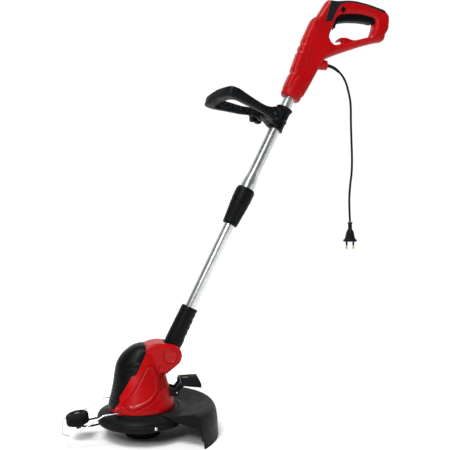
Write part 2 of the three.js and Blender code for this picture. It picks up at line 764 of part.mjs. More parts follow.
function makeClamp() {
  const band = revolve(
    [
      [clampBore, CLAMP_BOTTOM],
      [19.5, CLAMP_BOTTOM],
      [18.5, CLAMP_BOTTOM + 6],
      [18.5, CLAMP_TOP - 8],
      [21.5, CLAMP_TOP],
      [clampBore, CLAMP_TOP],
    ],
    ROUND_SIDES,
  );
  const hub = crossPin(16, -LOOP_BOLT_OUT, LOOP_BOLT_ALONG, -EAR_OUTER, EAR_OUTER, 24);
  const web = [[-LOOP_BOLT_OUT, 623], [-8, 615], [-8, 668], [-LOOP_BOLT_OUT + 2, 653.5]];
  const block = sideSlab(web, -EAR_OUTER, EAR_OUTER);
  const bore = disc(clampBore, CLAMP_BOTTOM - 5, CLAMP_TOP + 5, ROUND_SIDES);
  const slit = box([-80, -EAR_SLIT, 600], [-10, EAR_SLIT, 700]);
  const hole = crossPin(3.3, -LOOP_BOLT_OUT, LOOP_BOLT_ALONG, -40, 40);
  return cut(join(band, hub, block), bore, slit, hole);
}
addNode(loopGroup, "aux_clamp", makeClamp(), BLACK);

// The loop handle lies in its own plane, hinged on the clamp bolt.
const loopPlane = new THREE.Group();
loopPlane.position.set(-LOOP_BOLT_OUT, 0, LOOP_BOLT_ALONG);
loopPlane.rotation.y = -deg(LOOP_DROP);
loopGroup.add(loopPlane);

const HUB_FACE = 36;

// The arms twist on their way forward, so that the crossbar's far end lies lower than its near end.
function twisted(solid) {
  const { vertProperties, triVerts } = solid.getMesh();
  const position = new THREE.BufferAttribute(vertProperties, 3);
  for (let i = 0; i < position.count; i += 1) {
    const [x, y] = [position.getX(i), position.getY(i)];
    const share = Math.min(Math.max((-20 - x) / 125, 0), 1);
    const dip = FAR_ARM_DIP * Math.min(Math.max(y / 30, 0), 1) * Math.min(Math.max((-15 - x) / 45, 0), 1);
    position.setZ(i, position.getZ(i) - LOOP_TWIST * share * y - dip);
  }
  const geometry = new THREE.BufferGeometry();
  geometry.setAttribute("position", position);
  geometry.setIndex(new THREE.BufferAttribute(triVerts, 1));
  return solidFrom(geometry);
}

function makeLoop() {
  const farSide = [[16, HUB_FACE], [-30, HUB_FACE], [-60, 46], [-129, 62], [-151, 57], [-156, 30]];
  const nearSide = [[-149, -30], [-143, -55], [-122, -60], [-60, -45], [-30, -HUB_FACE], [16, -HUB_FACE]];
  const body = slab([...farSide, ...nearSide], -20, 20, { corner: 16, steps: 3 });
  const ears = EAR_OUTER + GAP;
  const innerFar = [[24, ears], [-26, ears], [-60, 31], [-124, 45], [-134, 32]];
  const innerNear = [[-127, -32], [-118, -43], [-60, -30], [-26, -ears], [24, -ears]];
  const opening = slab([...innerFar, ...innerNear], -40, 40, { corner: 8 });
  const arm = [[0, 15], [-30, 10.5], [-70, 11], [-120, 13], [-160, 12.5], [-160, -12.5], [-120, -13]];
  const under = [[-70, -11], [-30, -10.5], [0, -15]];
  const profile = sideSlab([...arm, ...under], -70, 70, { corner: 6 });
  const hub = crossPin(17, 0, 0, -HUB_FACE, HUB_FACE, 24);
  const hole = crossPin(3.3, 0, 0, -60, 60);
  const headRoom = crossPin(8.5, 0, 0, -HUB_FACE - 5, -HUB_FACE + 6.5, 24);
  return cut(twisted(body.intersect(profile)).add(hub), opening, hole, headRoom);
}
addNode(loopPlane, "loop_handle", makeLoop(), BLACK);

function makeClampBolt() {
  const stem = crossPin(3, 0, 0, -HUB_FACE + 4, 56);
  const head = crossPin(5.8, 0, 0, -HUB_FACE + 2, -HUB_FACE + 6.2, 6);
  return join(stem, head);
}
addNode(loopPlane, "clamp_bolt", makeClampBolt(), STEEL);

function makeStarKnob() {
  const lobes = 6;
  const rim = [];
  const facets = lobes * 4;
  for (let i = 0; i < facets; i += 1) {
    const angle = (i / facets) * 2 * Math.PI;
    const radius = 20.5 + 2.5 * Math.cos(lobes * angle);
    rim.push([radius * Math.cos(angle), radius * Math.sin(angle)]);
  }
  const star = turned(slab(rim, -68, -49, { chamfer: 3 }), "x", 90);
  const boss = crossPin(11, 0, 0, HUB_FACE + GAP, 50, 24);
  return cut(join(star, boss), crossPin(3.2, 0, 0, HUB_FACE - 1, 57));
}
addNode(loopPlane, "clamp_knob", makeStarKnob(), BLACK);

// ---------------------------------------------------------------- D-handle

// Outlines in the shaft's frame: [behind the shaft axis, along the shaft].
const HANDLE_FRONT = [[-27, 716], [-28, 758], [-25, 764], [-30, 771], [-36.5, 830], [-37, 918], [-29, 925], [-23, 977]];
const GRIP_TOP = [[-17, 980], [-1, 987], [27, 1006], [47, 1015.5], [78, 1025.5], [104, 1031.5]];
const HANDLE_REAR = [[127, 1036.5], [146, 1029], [159, 997], [156, 981], [161, 963], [143, 950]];
const HANDLE_UNDER = [[111, 920], [64, 870], [37, 839], [33, 800], [31, 760], [27.5, 716]];
const FINGER_SPACE = [
  [43, 881],
  [21.7, 893],
  [19.5, 917],
  [19, 949],
  [26, 960],
  [43, 973],
  [68, 987],
  [92, 996],
  [112, 1000],
  [120, 985],
  [122, 954],
  [107, 941],
];
const SOFT_GRIP = [
  [-17, 980],
  [-6, 918],
  [9.5, 929],
  [7.8, 967],
  [11, 980],
  [22, 992],
  [40.5, 1003],
  [71.5, 1014],
  [109, 1021.5],
  [129.7, 1024],
  [128, 1036.3],
];

// Moves each side of an outline outwards, or inwards where the distance is negative.
function offset(points, distance) {
  const count = points.length;
  const area = points.reduce((sum, [x, y], i) => {
    const [nextX, nextY] = points[(i + 1) % count];
    return sum + x * nextY - nextX * y;
  }, 0);
  const side = Math.sign(area) * distance;
  return points.map(([x, y], i) => {
    const [ax, ay] = points[(i + count - 1) % count];
    const [bx, by] = points[(i + 1) % count];
    const before = new THREE.Vector2(y - ay, ax - x).normalize();
    const after = new THREE.Vector2(by - y, x - bx).normalize();
    const mitre = before.clone().add(after).normalize();
    const reach = side / Math.max(0.4, mitre.dot(after));
    return [x + mitre.x * reach, y + mitre.y * reach];
  });
}

const handleOutline = [...HANDLE_FRONT, ...GRIP_TOP, ...HANDLE_REAR, ...HANDLE_UNDER];
const softOutline = [...SOFT_GRIP, ...GRIP_TOP.slice(1).reverse()];
const TRIGGER_ROOM = [[11.8, 915], [11.8, 952], [22, 964], [40, 979], [66, 994], [90, 1004], [118, 1010], [122, 996], [112, 985]];

const SOCKET_TOP = 764;
const BOSS_HEIGHT = 911.5;
const BOSS_END = 471.5;
const BOSS_RADIUS = 12.5;

// A piece given in the trimmer's frame, turned into the shaft's frame.
function intoShaft(solid) {
  return turned(shifted(solid, -PIVOT_X, 0, -PIVOT_Z), "y", -LEAN);
}

function cordBoss(radius, from, to, sides) {
  return intoShaft(shifted(turned(disc(radius, from, to, sides), "y", 90), 0, 0, BOSS_HEIGHT));
}

function makeHandleSolid() {
  const body = sideSlab(handleOutline, -HANDLE_HALF, HANDLE_HALF, { corner: 8, chamfer: 4 });
  const socket = revolve([[0, HANDLE_BOTTOM], [24, HANDLE_BOTTOM], [26.5, 706], [26.5, 752], [22, 775], [0, 775]]);
  const hook = sideSlab([[84, 925], [72, 924], [64, 922], [52, 911], [49, 905], [56, 908], [63, 908], [63, 895]], -6, 6);
  const finger = sideSlab(FINGER_SPACE, -60, 60, { corner: 8 });
  const boss = cordBoss(BOSS_RADIUS, 430, BOSS_END, 24);
  return join(cut(body, finger), socket, hook, boss);
}

function makeHandleShell() {
  const wall = 3;
  const half = HANDLE_HALF - wall;
  const hollow = cut(
    sideSlab(offset(handleOutline, -wall), -half, half),
    sideSlab(offset(FINGER_SPACE, wall), -60, 60),
    sideSlab(offset(softOutline, wall), -60, 60),
    disc(UPPER_TUBE_RADIUS + wall, HANDLE_BOTTOM - 5, SOCKET_TOP, ROUND_SIDES),
    box([-60, -30, 690], [60, 30, 757]),
  );
  const tubeBoreSpace = disc(UPPER_TUBE_RADIUS + 0.1, HANDLE_BOTTOM - 5, SOCKET_TOP + 5, ROUND_SIDES);
  const soft = sideSlab(offset(softOutline, 0.4), -60, 60);
  const room = sideSlab(TRIGGER_ROOM, -12.5, 12.5);
  const button = crossPin(BUTTON_RADIUS + GAP, ...BUTTON_CENTRE, -60, 60, 24);
  const cord = cordBoss(5.3, 425, 480, SMALL_SIDES);
  const pin = crossPin(2.2, ...TRIGGER_PIVOT, -half, half);
  return cut(makeHandleSolid(), hollow, tubeBoreSpace, soft, room, button, cord, pin);
}

const handleShell = makeHandleShell();
addNode(shaft, "handle_shell_left", handleShell.intersect(box([-80, -80, 650], [220, -HALF_SPLIT, 1100])), RED);
addNode(shaft, "handle_shell_right", handleShell.intersect(box([-80, HALF_SPLIT, 650], [220, 80, 1100])), RED);

// The soft grip is a channel that is open towards the trigger.
function makeSoftGrip() {
  const solid = sideSlab(softOutline, -HANDLE_HALF, HANDLE_HALF, { chamfer: 2 });
  const channel = softOutline.map(([x, y]) => [x + 3.5, y - 4.5]);
  return cut(solid, sideSlab(channel, -HANDLE_HALF + 5, HANDLE_HALF - 5));
}
addNode(shaft, "soft_grip", makeSoftGrip(), SOFT);

// The trigger lever turns on a pin at its rear end.
function makeTrigger() {
  const lever = [
    [18, 921],
    [27.5, 923],
    [24.5, 932],
    [30, 943],
    [50, 958],
    [75, 972],
    [98, 982.5],
    [110, 986],
    [117, 995],
    [116, 1006],
    [106, 1006],
    [90, 999.5],
    [66, 989.5],
    [40, 975],
    [24, 962],
    [18.8, 950],
  ];
  let solid = cut(sideSlab(lever, -11.5, 11.5, { corner: 3 }), crossPin(2.3, ...TRIGGER_PIVOT, -20, 20));
  const [buttonX, buttonZ] = BUTTON_CENTRE;
  for (const travel of [0, 0.5, 1]) {
    const room = crossPin(BUTTON_RADIUS + 0.6, buttonX + 1.9 * travel, buttonZ - 5.5 * travel, -40, 40, 24);
    solid = cut(solid, room);
  }
  return solid;
}
addNode(shaft, "trigger", makeTrigger(), BLACK);
addNode(shaft, "trigger_pin", crossPin(2, ...TRIGGER_PIVOT, -16.5, 16.5), STEEL);
addNode(shaft, "lock_off_button", crossPin(BUTTON_RADIUS, ...BUTTON_CENTRE, -HANDLE_HALF - 4, HANDLE_HALF + 0.5, 24), BLACK);

function makeSwitch() {
  const body = box([-13, -7, -5], [13, 7, 5]);
  return shifted(turned(body, "y", -27), 64, 0, 1000);
}
addNode(shaft, "power_switch", makeSwitch(), GREY);
addNode(shaft, "terminal_block", box([-16, -10, 800], [4, 10, 840]), GREY);

// ---------------------------------------------------------------- cord and plug

const RELIEF_PATH = [
  [462, 911.5],
  [472, 911.3],
  [484, 909],
  [495, 904.5],
  [506, 897],
];
const CORD_PATH = [
  [506.3, 896.7],
  [513, 890.5],
  [520, 881],
  [527, 867],
  [533, 847],
  [537.5, 827],
  [539.7, 803],
  [540, 770],
  [541.4, 724],
  [543, 678],
  [542.2, 638],
  [538, 604],
  [535.5, 568],
  [536.3, 531],
  [537.5, 507.9],
];

function leadCurve(points) {
  return new THREE.CatmullRomCurve3(points.map(([x, z]) => new THREE.Vector3(x, 0, z)), false, "centripetal");
}
addNode(trimmer, "strain_relief", rod(leadCurve(RELIEF_PATH), 4.4, 8, 12), RUBBER);
addNode(trimmer, "power_cord", rod(leadCurve(CORD_PATH), CORD_RADIUS, 36, 8), RUBBER);

const PLUG_X = 537.5;
const PLUG_TOP = 507.5;
const PLUG_FACE = 456.5;
const PIN_SPACING = 19;
const PIN_LENGTH = 19;

function makePlug() {
  const neck = disc(6.2, 484, PLUG_TOP);
  const collar = revolve([[0, 502], [6, 502], [8.5, PLUG_TOP], [0, PLUG_TOP]], SMALL_SIDES);
  const body = loft(
    [
      { z: PLUG_FACE, front: -17.6, rear: 17.6, half: 13 },
      { z: PLUG_FACE + 5.5, front: -17.6, rear: 17.6, half: 13 },
      { z: PLUG_FACE + 8, front: -14, rear: 14, half: 11.5 },
      { z: 485, front: -9.5, rear: 9.5, half: 8.5 },
      { z: 488, front: -8, rear: 8, half: 7.5 },
    ],
    24,
  );
  const holes = [-1, 1].map((side) => shifted(disc(2.45, PLUG_FACE - 2, PLUG_FACE + 10.3), (side * PIN_SPACING) / 2, 0, 0));
  return shifted(cut(join(neck, collar, body), ...holes), PLUG_X, 0, 0);
}
addNode(trimmer, "plug", makePlug(), RUBBER);
for (const [side, sign] of [["front", -1], ["rear", 1]]) {
  const pin = shifted(disc(2.4, PLUG_FACE - PIN_LENGTH, PLUG_FACE + 10), PLUG_X + (sign * PIN_SPACING) / 2, 0, 0);
  addNode(trimmer, `plug_pin_${side}`, pin, BRASS);
}

export default trimmer;
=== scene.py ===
"""Looks of an electric string trimmer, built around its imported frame.

Outlines and profiles are in millimetres, in the frame's own axes or in a named part frame.
"""

import json
from math import ceil, copysign, cos, pi, radians, sin, tan

import bmesh
import bpy
import numpy as np
from mathutils import Matrix, Vector
from mathutils.geometry import delaunay_2d_cdt


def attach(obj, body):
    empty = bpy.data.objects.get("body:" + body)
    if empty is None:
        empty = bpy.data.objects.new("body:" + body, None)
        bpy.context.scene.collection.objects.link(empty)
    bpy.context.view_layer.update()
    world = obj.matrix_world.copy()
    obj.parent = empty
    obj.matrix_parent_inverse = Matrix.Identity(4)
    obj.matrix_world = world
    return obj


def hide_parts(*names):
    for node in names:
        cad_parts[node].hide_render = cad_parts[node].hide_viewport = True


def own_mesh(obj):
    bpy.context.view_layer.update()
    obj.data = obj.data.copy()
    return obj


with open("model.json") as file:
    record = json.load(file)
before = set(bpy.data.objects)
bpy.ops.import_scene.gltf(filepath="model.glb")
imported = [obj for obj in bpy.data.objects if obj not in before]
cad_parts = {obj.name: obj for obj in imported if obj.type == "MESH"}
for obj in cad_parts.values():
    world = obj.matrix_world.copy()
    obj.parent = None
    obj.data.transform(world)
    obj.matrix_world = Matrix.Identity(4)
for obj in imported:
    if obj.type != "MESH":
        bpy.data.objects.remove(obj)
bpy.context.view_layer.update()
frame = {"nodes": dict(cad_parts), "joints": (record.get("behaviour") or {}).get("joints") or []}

MM = 0.001
JOINTS = {joint["name"]: joint for joint in frame["joints"]}
IDENTITY = Matrix.Identity(4)


def turn(degrees, axis):
    return Matrix.Rotation(radians(degrees), 4, axis)


def move(x, y, z):
    return Matrix.Translation((x, y, z))


def joint_place(name):
    """A move to a joint's point in the frame, in millimetres."""
    return Matrix.Translation(Vector(JOINTS[name]["pos_m"]) / MM)


# ---------------------------------------------------------------- places

SHAFT_LEAN = 26.2
LOOP_TURN = 14
LOOP_DROP = 12
LOOP_TWIST = 0.15
FAR_ARM_DIP = 6
WHEEL_TILT = 8
SHAFT = joint_place("head_tilt") @ turn(SHAFT_LEAN, "Y")
LOOP = joint_place("loop_tilt") @ turn(SHAFT_LEAN, "Y") @ turn(LOOP_TURN, "Z") @ turn(-LOOP_DROP, "Y")
CLAMP = SHAFT @ turn(LOOP_TURN, "Z")
WHEEL = joint_place("wheel_roll") @ turn(-WHEEL_TILT, "Y")
SIDE = turn(90, "X")  # a plane piece stands up: its thickness lies along Y

# ---------------------------------------------------------------- outlines


def rounded(points, reach, steps=4):
    """A closed outline with each corner rounded where its sides leave room."""
    spots = [np.array(p, float) for p in points]
    out = []
    for i, spot in enumerate(spots):
        before, after = spots[i - 1], spots[(i + 1) % len(spots)]
        size = min(reach, 0.45 * np.linalg.norm(spot - before), 0.45 * np.linalg.norm(spot - after))
        start = spot + (before - spot) * size / np.linalg.norm(before - spot)
        end = spot + (after - spot) * size / np.linalg.norm(after - spot)
        for k in range(steps + 1):
            t = k / steps
            out.append((1 - t) ** 2 * start + 2 * t * (1 - t) * spot + t * t * end)
    return np.array(out)


def grown(points, distance_out):
    """A closed outline moved outwards, corner by corner."""
    spots = np.array(points, float)
    ahead, behind = np.roll(spots, -1, axis=0) - spots, spots - np.roll(spots, 1, axis=0)
    area = (spots[:, 0] * ahead[:, 1] - spots[:, 1] * ahead[:, 0]).sum()
    way = sum(w / np.linalg.norm(w, axis=1)[:, None] for w in (ahead, behind))
    away = np.stack([way[:, 1], -way[:, 0]], 1) * np.sign(area)
    return spots + distance_out * away / np.linalg.norm(away, axis=1)[:, None]


def divided(points, longest):
    """A closed outline whose sides are no longer than the given length."""
    out = []
    for a, b in zip(points, np.roll(points, -1, axis=0)):
        count = max(1, ceil(np.linalg.norm(b - a) / longest))
        out.extend(a + (b - a) * k / count for k in range(count))
    return np.array(out)


def spline(points, per_span=8):
    """A smooth open line through the given points, by Catmull-Rom spans."""
    spots = np.array(points, float)
    spots = np.vstack([2 * spots[0] - spots[1], spots, 2 * spots[-1] - spots[-2]])
    out = []
    for a, b, c, d in zip(spots, spots[1:], spots[2:], spots[3:]):
        slope, bend, twist = c - a, 2 * a - 5 * b + 4 * c - d, 3 * b - a - 3 * c + d
        for k in range(per_span):
            t = k / per_span
            out.append(0.5 * (2 * b + slope * t + bend * t**2 + twist * t**3))
    return np.array([*out, spots[-2]])


def inside(outline, points):
    """Which points lie inside a closed outline."""
    a, b = outline, np.roll(outline, -1, axis=0)
    x, y = points[:, :1], points[:, 1:2]
    spans = (a[:, 1] > y) != (b[:, 1] > y)
    rise = np.where(b[:, 1] == a[:, 1], 1e-12, b[:, 1] - a[:, 1])
    left = x < (b[:, 0] - a[:, 0]) * (y - a[:, 1]) / rise + a[:, 0]
    return (spans & left).sum(1) % 2 == 1


def between(loops, points):
    """Which points lie inside the first outline and outside the others."""
    within = inside(loops[0], points)
    for hole in loops[1:]:
        within &= ~inside(hole, points)
    return within


def distance(outlines, points):
    """The distance from each point to the nearest side of the outlines."""
    best = np.full(len(points), np.inf)
    for outline in outlines:
        a, b = outline, np.roll(outline, -1, axis=0)
        along = b - a
        size = np.maximum((along**2).sum(1), 1e-12)
        for start in range(0, len(points), 4000):
            part = points[start : start + 4000]
            rel = part[:, None] - a[None]
            t = np.clip((rel * along).sum(2) / size, 0, 1)
            gap = np.linalg.norm(rel - t[..., None] * along, axis=2).min(1)
            best[start : start + 4000] = np.minimum(best[start : start + 4000], gap)
    return best


# ---------------------------------------------------------------- solids


def add(obj):
    bpy.context.scene.collection.objects.link(obj)
    return obj


def solid(verts, faces, at=IDENTITY):
    """A closed mesh object from millimetre points, placed in the frame."""
    matrix = np.array(at)
    spots = (np.asarray(verts, float) @ matrix[:3, :3].T + matrix[:3, 3]) * MM
    mesh = bpy.data.meshes.new("work")
    mesh.from_pydata(spots.tolist(), [], [list(map(int, f)) for f in faces])
    bm = bmesh.new()
    bm.from_mesh(mesh)
    bmesh.ops.remove_doubles(bm, verts=bm.verts, dist=1e-6)
    bmesh.ops.dissolve_degenerate(bm, edges=bm.edges, dist=1e-6)
    bmesh.ops.recalc_face_normals(bm, faces=bm.faces)
    bm.to_mesh(mesh)
    bm.free()
    return add(bpy.data.objects.new("work", mesh))


def settle(obj):
    """Turns an object's modifiers into its mesh."""
    bpy.context.view_layer.update()
    shown = obj.evaluated_get(bpy.context.evaluated_depsgraph_get())
    mesh = bpy.data.meshes.new_from_object(shown)
    old = obj.data
    obj.modifiers.clear()
    obj.data = mesh
    bpy.data.meshes.remove(old)
    return obj


def combine(obj, tools, operation):
    for tool in tools:
        step = obj.modifiers.new("combine", "BOOLEAN")
        step.operation = operation
        step.solver = "MANIFOLD"
        step.object = tool
        settle(obj)
        bpy.data.objects.remove(tool)
    return obj


def join(obj, *tools):
    return combine(obj, tools, "UNION")


def joined(parts):
    """One solid from a row of overlapping ones."""
    first, *others = parts
    return join(first, *others)


def cut(obj, *tools):
    return combine(obj, tools, "DIFFERENCE")


def keep(obj, *tools):
    return combine(obj, tools, "INTERSECT")


def twin(obj):
    copy = obj.copy()
    copy.data = obj.data.copy()
    return add(copy)


def mirrored(obj):
    """The same solid on the other side of the XZ plane, beside the first."""
    copy = twin(obj)
    copy.data.transform(Matrix.Scale(-1, 4, (0, 1, 0)))
    copy.data.flip_normals()
    return copy


def soften(obj, voxel, passes):
    """Blends a joined solid's edges, as moulded plastic's are."""
    remesh = obj.modifiers.new("remesh", "REMESH")
    remesh.mode = "VOXEL"
    remesh.voxel_size = voxel * MM
    smooth = obj.modifiers.new("smooth", "SMOOTH")
    smooth.factor = 0.5
    smooth.iterations = passes
    return settle(obj)


def tube_faces(rows, columns, close_rows=False):
    """Quads of a grid of rows by columns, whose every row closes on itself."""
    span = rows if close_rows else rows - 1
    faces = []
    for i in range(span):
        for j in range(columns):
            k, m = (i + 1) % rows, (j + 1) % columns
            faces.append((i * columns + j, i * columns + m, k * columns + m, k * columns + j))
    return faces


def lathe(profile, sides=72, at=IDENTITY, wave=None):
    """A closed (radius, height) profile turned about Z. wave(radius, height, angle) adds to the radius."""
    profile = np.array(profile, float)
    angles = np.arange(sides) * 2 * pi / sides
    radius = np.repeat(profile[:, :1], sides, axis=1)
    height = np.repeat(profile[:, 1:], sides, axis=1)
    around = np.repeat(angles[None], len(profile), axis=0)
    if wave:
        radius = radius + wave(radius, height, around)
    verts = np.stack([radius * np.cos(around), radius * np.sin(around), height], 2).reshape(-1, 3)
    return solid(verts, tube_faces(len(profile), sides, True), at)


def disc(radius, low, high, edge=0.6, sides=48, at=IDENTITY):
    corners = [(0, low), (radius, low), (radius, high), (0, high)]
    profile = [(0, low), *rounded(corners, edge, 3)[4:12], (0, high)]
    return lathe(profile, sides, at)


def cross_pin(radius, x, z, low, high, edge=0.6, sides=48, at=IDENTITY):
    """A round pin along Y."""
    return disc(radius, -high, -low, edge, sides, at @ move(x, 0, z) @ SIDE)


def prism(outline, low, high, at=IDENTITY):
    """A plain prism of an outline, between two heights."""
    count = len(outline)
    verts = [(x, y, low) for x, y in outline] + [(x, y, high) for x, y in outline]
    faces = [list(range(count))[::-1], list(range(count, 2 * count))]
    faces += [(i, (i + 1) % count, count + (i + 1) % count, count + i) for i in range(count)]
    return solid(verts, faces, at)


def side_prism(outline, low, high, at=IDENTITY):
    """A prism of an XZ outline along Y."""
    return prism(outline, -high, -low, at @ SIDE)


def capped_faces(rows, columns):
    """The same quads with a face over the first row and over the last."""
    last = (rows - 1) * columns
    return [*tube_faces(rows, columns), list(range(columns))[::-1], list(range(last, rows * columns))]


def sweep(points, radius, sides=16, at=IDENTITY):
    """A round rod along a line of points. radius is one size or one for each point."""
    points = np.array(points, float)
    radii = np.broadcast_to(radius, len(points))
    ahead = np.gradient(points, axis=0)
    ahead /= np.linalg.norm(ahead, axis=1)[:, None]
    normal = np.cross(ahead[0], (0.31, 0.87, 0.38))
    verts = []
    for point, way, size in zip(points, ahead, radii):
        normal = normal - way * normal.dot(way)
        normal = normal / np.linalg.norm(normal)
        other = np.cross(way, normal)
        for k in range(sides):
            a = 2 * pi * k / sides
            verts.append(point + size * (cos(a) * normal + sin(a) * other))
    return solid(verts, capped_faces(len(points), sides), at)


def relief(outline, top, bottom=None, holes=(), edge=4, rings=5, spacing=2.4, at=IDENTITY):
    """A body with its outline in a plane. top(points, gap) is the height of its upper face, where gap is each
    point's distance from the outline, and bottom the same for its lower face, or the mirror of the top."""
    loops = [divided(np.array(loop, float), spacing) for loop in (outline, *holes)]
    spots = [p for loop in loops for p in loop]
    edges = []
    first = 0
    for loop in loops:
        edges += [(first + i, first + (i + 1) % len(loop)) for i in range(len(loop))]
        first += len(loop)
    rim = first
    for ring in range(1, rings + 1):
        away = edge * (1 - cos(ring / rings * pi / 2))
        for loop in loops:
            side = np.roll(loop, -1, axis=0) - np.roll(loop, 1, axis=0)
            normal = np.stack([-side[:, 1], side[:, 0]], 1) / np.linalg.norm(side, axis=1)[:, None]
            for sign in (-1, 1):
                near = loop + sign * normal * away
                clear = np.abs(distance(loops, near) - away) < 0.12 * away + 0.05
                spots += list(near[clear])
    low, high = loops[0].min(0), loops[0].max(0)
    xs = np.arange(low[0], high[0], spacing)
    ys = np.arange(low[1], high[1], spacing * 0.87)
    grid = np.array([(x + (k % 2) * spacing / 2, y) for k, y in enumerate(ys) for x in xs])
    spots += list(grid[distance(loops, grid) > edge + 0.55 * spacing])
    spots = np.array(spots)
    within = between(loops, spots)
    within[:rim] = True
    spots = spots[within]
    flat, _, cells, *_ = delaunay_2d_cdt([Vector(p) for p in spots], edges, [], 0, 1e-5)
    points = np.array([tuple(p) for p in flat])
    cells = np.array([c for c in cells if len(c) == 3])
    middle = points[cells].mean(1)
    cells = cells[between(loops, middle)]
    gap = distance(loops, points)
    upper = top(points, gap)
    lower = -upper if bottom is None else bottom(points, gap)
    count = len(points)
    verts = np.vstack([np.column_stack([points, upper]), np.column_stack([points, lower])])
    faces = [tuple(c) for c in cells] + [tuple(c[::-1] + count) for c in cells]
    sides = dict.fromkeys((a, b) for cell in cells for a, b in zip(cell, np.roll(cell, -1)))
    faces += [(b, a, a + count, b + count) for a, b in sides if (b, a) not in sides]
    return solid(verts, faces, at)


def quarter(gap, edge):
    """A quarter round's height at each distance from the outline."""
    fall = edge - np.minimum(gap, edge)
    return np.sqrt(np.maximum(edge**2 - fall**2, 0))


def round_edge(half, edge):
    """The height of a slab of that half thickness whose edge is a quarter round."""
    return lambda points, gap: half - edge + quarter(gap, edge)


# ---------------------------------------------------------------- materials


def material(name):
    look = bpy.data.materials.new(name)
    look.use_nodes = True
    tree = look.node_tree
    shader = tree.nodes["Principled BSDF"]
    return look, tree, shader


def noise(tree, scale, detail=3.0, stretch=None):
    """A noise value in the frame's own axes. stretch is a mapping of (rotation, scale)."""
    place = tree.nodes.new("ShaderNodeTexCoord").outputs["Object"]
    if stretch:
        mapping = tree.nodes.new("ShaderNodeMapping")
        mapping.inputs["Rotation"].default_value = stretch[0]
        mapping.inputs["Scale"].default_value = stretch[1]
        tree.links.new(place, mapping.inputs["Vector"])
        place = mapping.outputs["Vector"]
    node = tree.nodes.new("ShaderNodeTexNoise")
    node.inputs["Scale"].default_value = scale
    node.inputs["Detail"].default_value = detail
    tree.links.new(place, node.inputs["Vector"])
    return node.outputs["Fac"]


def spread(tree, value, low, high, start=0.3, end=0.7):
    node = tree.nodes.new("ShaderNodeMapRange")
    for key, number in (("From Min", start), ("From Max", end), ("To Min", low), ("To Max", high)):
        node.inputs[key].default_value = number
    tree.links.new(value, node.inputs["Value"])
    return node.outputs["Result"]


def blend_colours(tree, factor, first, second):
    node = tree.nodes.new("ShaderNodeMix")
    node.data_type = "RGBA"
    for socket, colour in ((node.inputs[6], first), (node.inputs[7], second)):
        if isinstance(colour, bpy.types.NodeSocket):
            tree.links.new(colour, socket)
        else:
            socket.default_value = (*colour, 1)
    tree.links.new(factor, node.inputs[0])
    return node.outputs[2]


def bump(tree, shader, layers):
    """Stacks bumps of (height, strength, depth in mm)."""
    last = None
    for height, strength, depth in layers:
        node = tree.nodes.new("ShaderNodeBump")
        node.inputs["Strength"].default_value = strength
        node.inputs["Distance"].default_value = depth * MM
        tree.links.new(height, node.inputs["Height"])
        if last:
            tree.links.new(last, node.inputs["Normal"])
        last = node.outputs["Normal"]
    tree.links.new(last, shader.inputs["Normal"])


def edge_wear(tree, start=0.515, end=0.56):
    """Rises on the outer edges of a shape, broken up by noise."""
    point = tree.nodes.new("ShaderNodeNewGeometry").outputs["Pointiness"]
    edge = spread(tree, point, 0, 1, start, end)
    patches = spread(tree, noise(tree, 160, 4), 0, 1, 0.42, 0.62)
    product = tree.nodes.new("ShaderNodeMath")
    product.operation = "MULTIPLY"
    tree.links.new(edge, product.inputs[0])
    tree.links.new(patches, product.inputs[1])
    return product.outputs[0]


def plastic(name, base, shade, worn, gloss, grain, depth, coat=0.0, specular=0.09):
    """Moulded plastic: uneven colour, a fine moulded grain, and paler worn edges."""
    look, tree, shader = material(name)
    body = blend_colours(tree, spread(tree, noise(tree, 22, 5), 0, 1), base, shade)
    colour = blend_colours(tree, edge_wear(tree), body, worn)
    tree.links.new(colour, shader.inputs["Base Color"])
    rough = spread(tree, noise(tree, 75, 5), gloss - 0.05, gloss + 0.09)
    tree.links.new(rough, shader.inputs["Roughness"])
    shader.inputs["Specular IOR Level"].default_value = specular
    shader.inputs["Coat Weight"].default_value = coat
    shader.inputs["Coat Roughness"].default_value = 0.18
    bump(tree, shader, [(noise(tree, grain, 2), 0.35, depth), (noise(tree, 34, 2), 0.12, 0.25)])
    return look


def metal(name, base, shade, gloss, stretch=None, depth=0.02):
    """Bare metal: drawn or brushed lines, slight tarnish, uneven gloss."""
    look, tree, shader = material(name)
    shader.inputs["Metallic"].default_value = 1.0
    lines = noise(tree, 1.0 if stretch else 900, 6, stretch)
    tarnish = noise(tree, 38, 5)
    colour = blend_colours(tree, spread(tree, tarnish, 0, 1, 0.35, 0.75), base, shade)
    tree.links.new(colour, shader.inputs["Base Color"])
    tree.links.new(spread(tree, lines, gloss - 0.07, gloss + 0.1), shader.inputs["Roughness"])
    bump(tree, shader, [(lines, 0.08, depth), (noise(tree, 60, 3), 0.06, 0.05)])
    return look


def textured_rubber(name, base, shade, cell, gloss):
    """Soft overmoulding with a pattern of small raised dots."""
    look, tree, shader = material(name)
    colour = blend_colours(tree, spread(tree, noise(tree, 55, 5), 0, 1), base, shade)
    tree.links.new(colour, shader.inputs["Base Color"])
    tree.links.new(spread(tree, noise(tree, 240, 3), gloss - 0.06, gloss + 0.08), shader.inputs["Roughness"])
    shader.inputs["Specular IOR Level"].default_value = 0.1
    dots = tree.nodes.new("ShaderNodeTexVoronoi")
    dots.inputs["Scale"].default_value = 1000 / cell
    dots.inputs["Randomness"].default_value = 0.35
    place = tree.nodes.new("ShaderNodeTexCoord").outputs["Object"]
    tree.links.new(place, dots.inputs["Vector"])
    domes = spread(tree, dots.outputs["Distance"], 1, 0, 0.1, 0.5)
    bump(tree, shader, [(domes, 0.5, 0.12), (noise(tree, 1500, 2), 0.2, 0.03)])
    return look


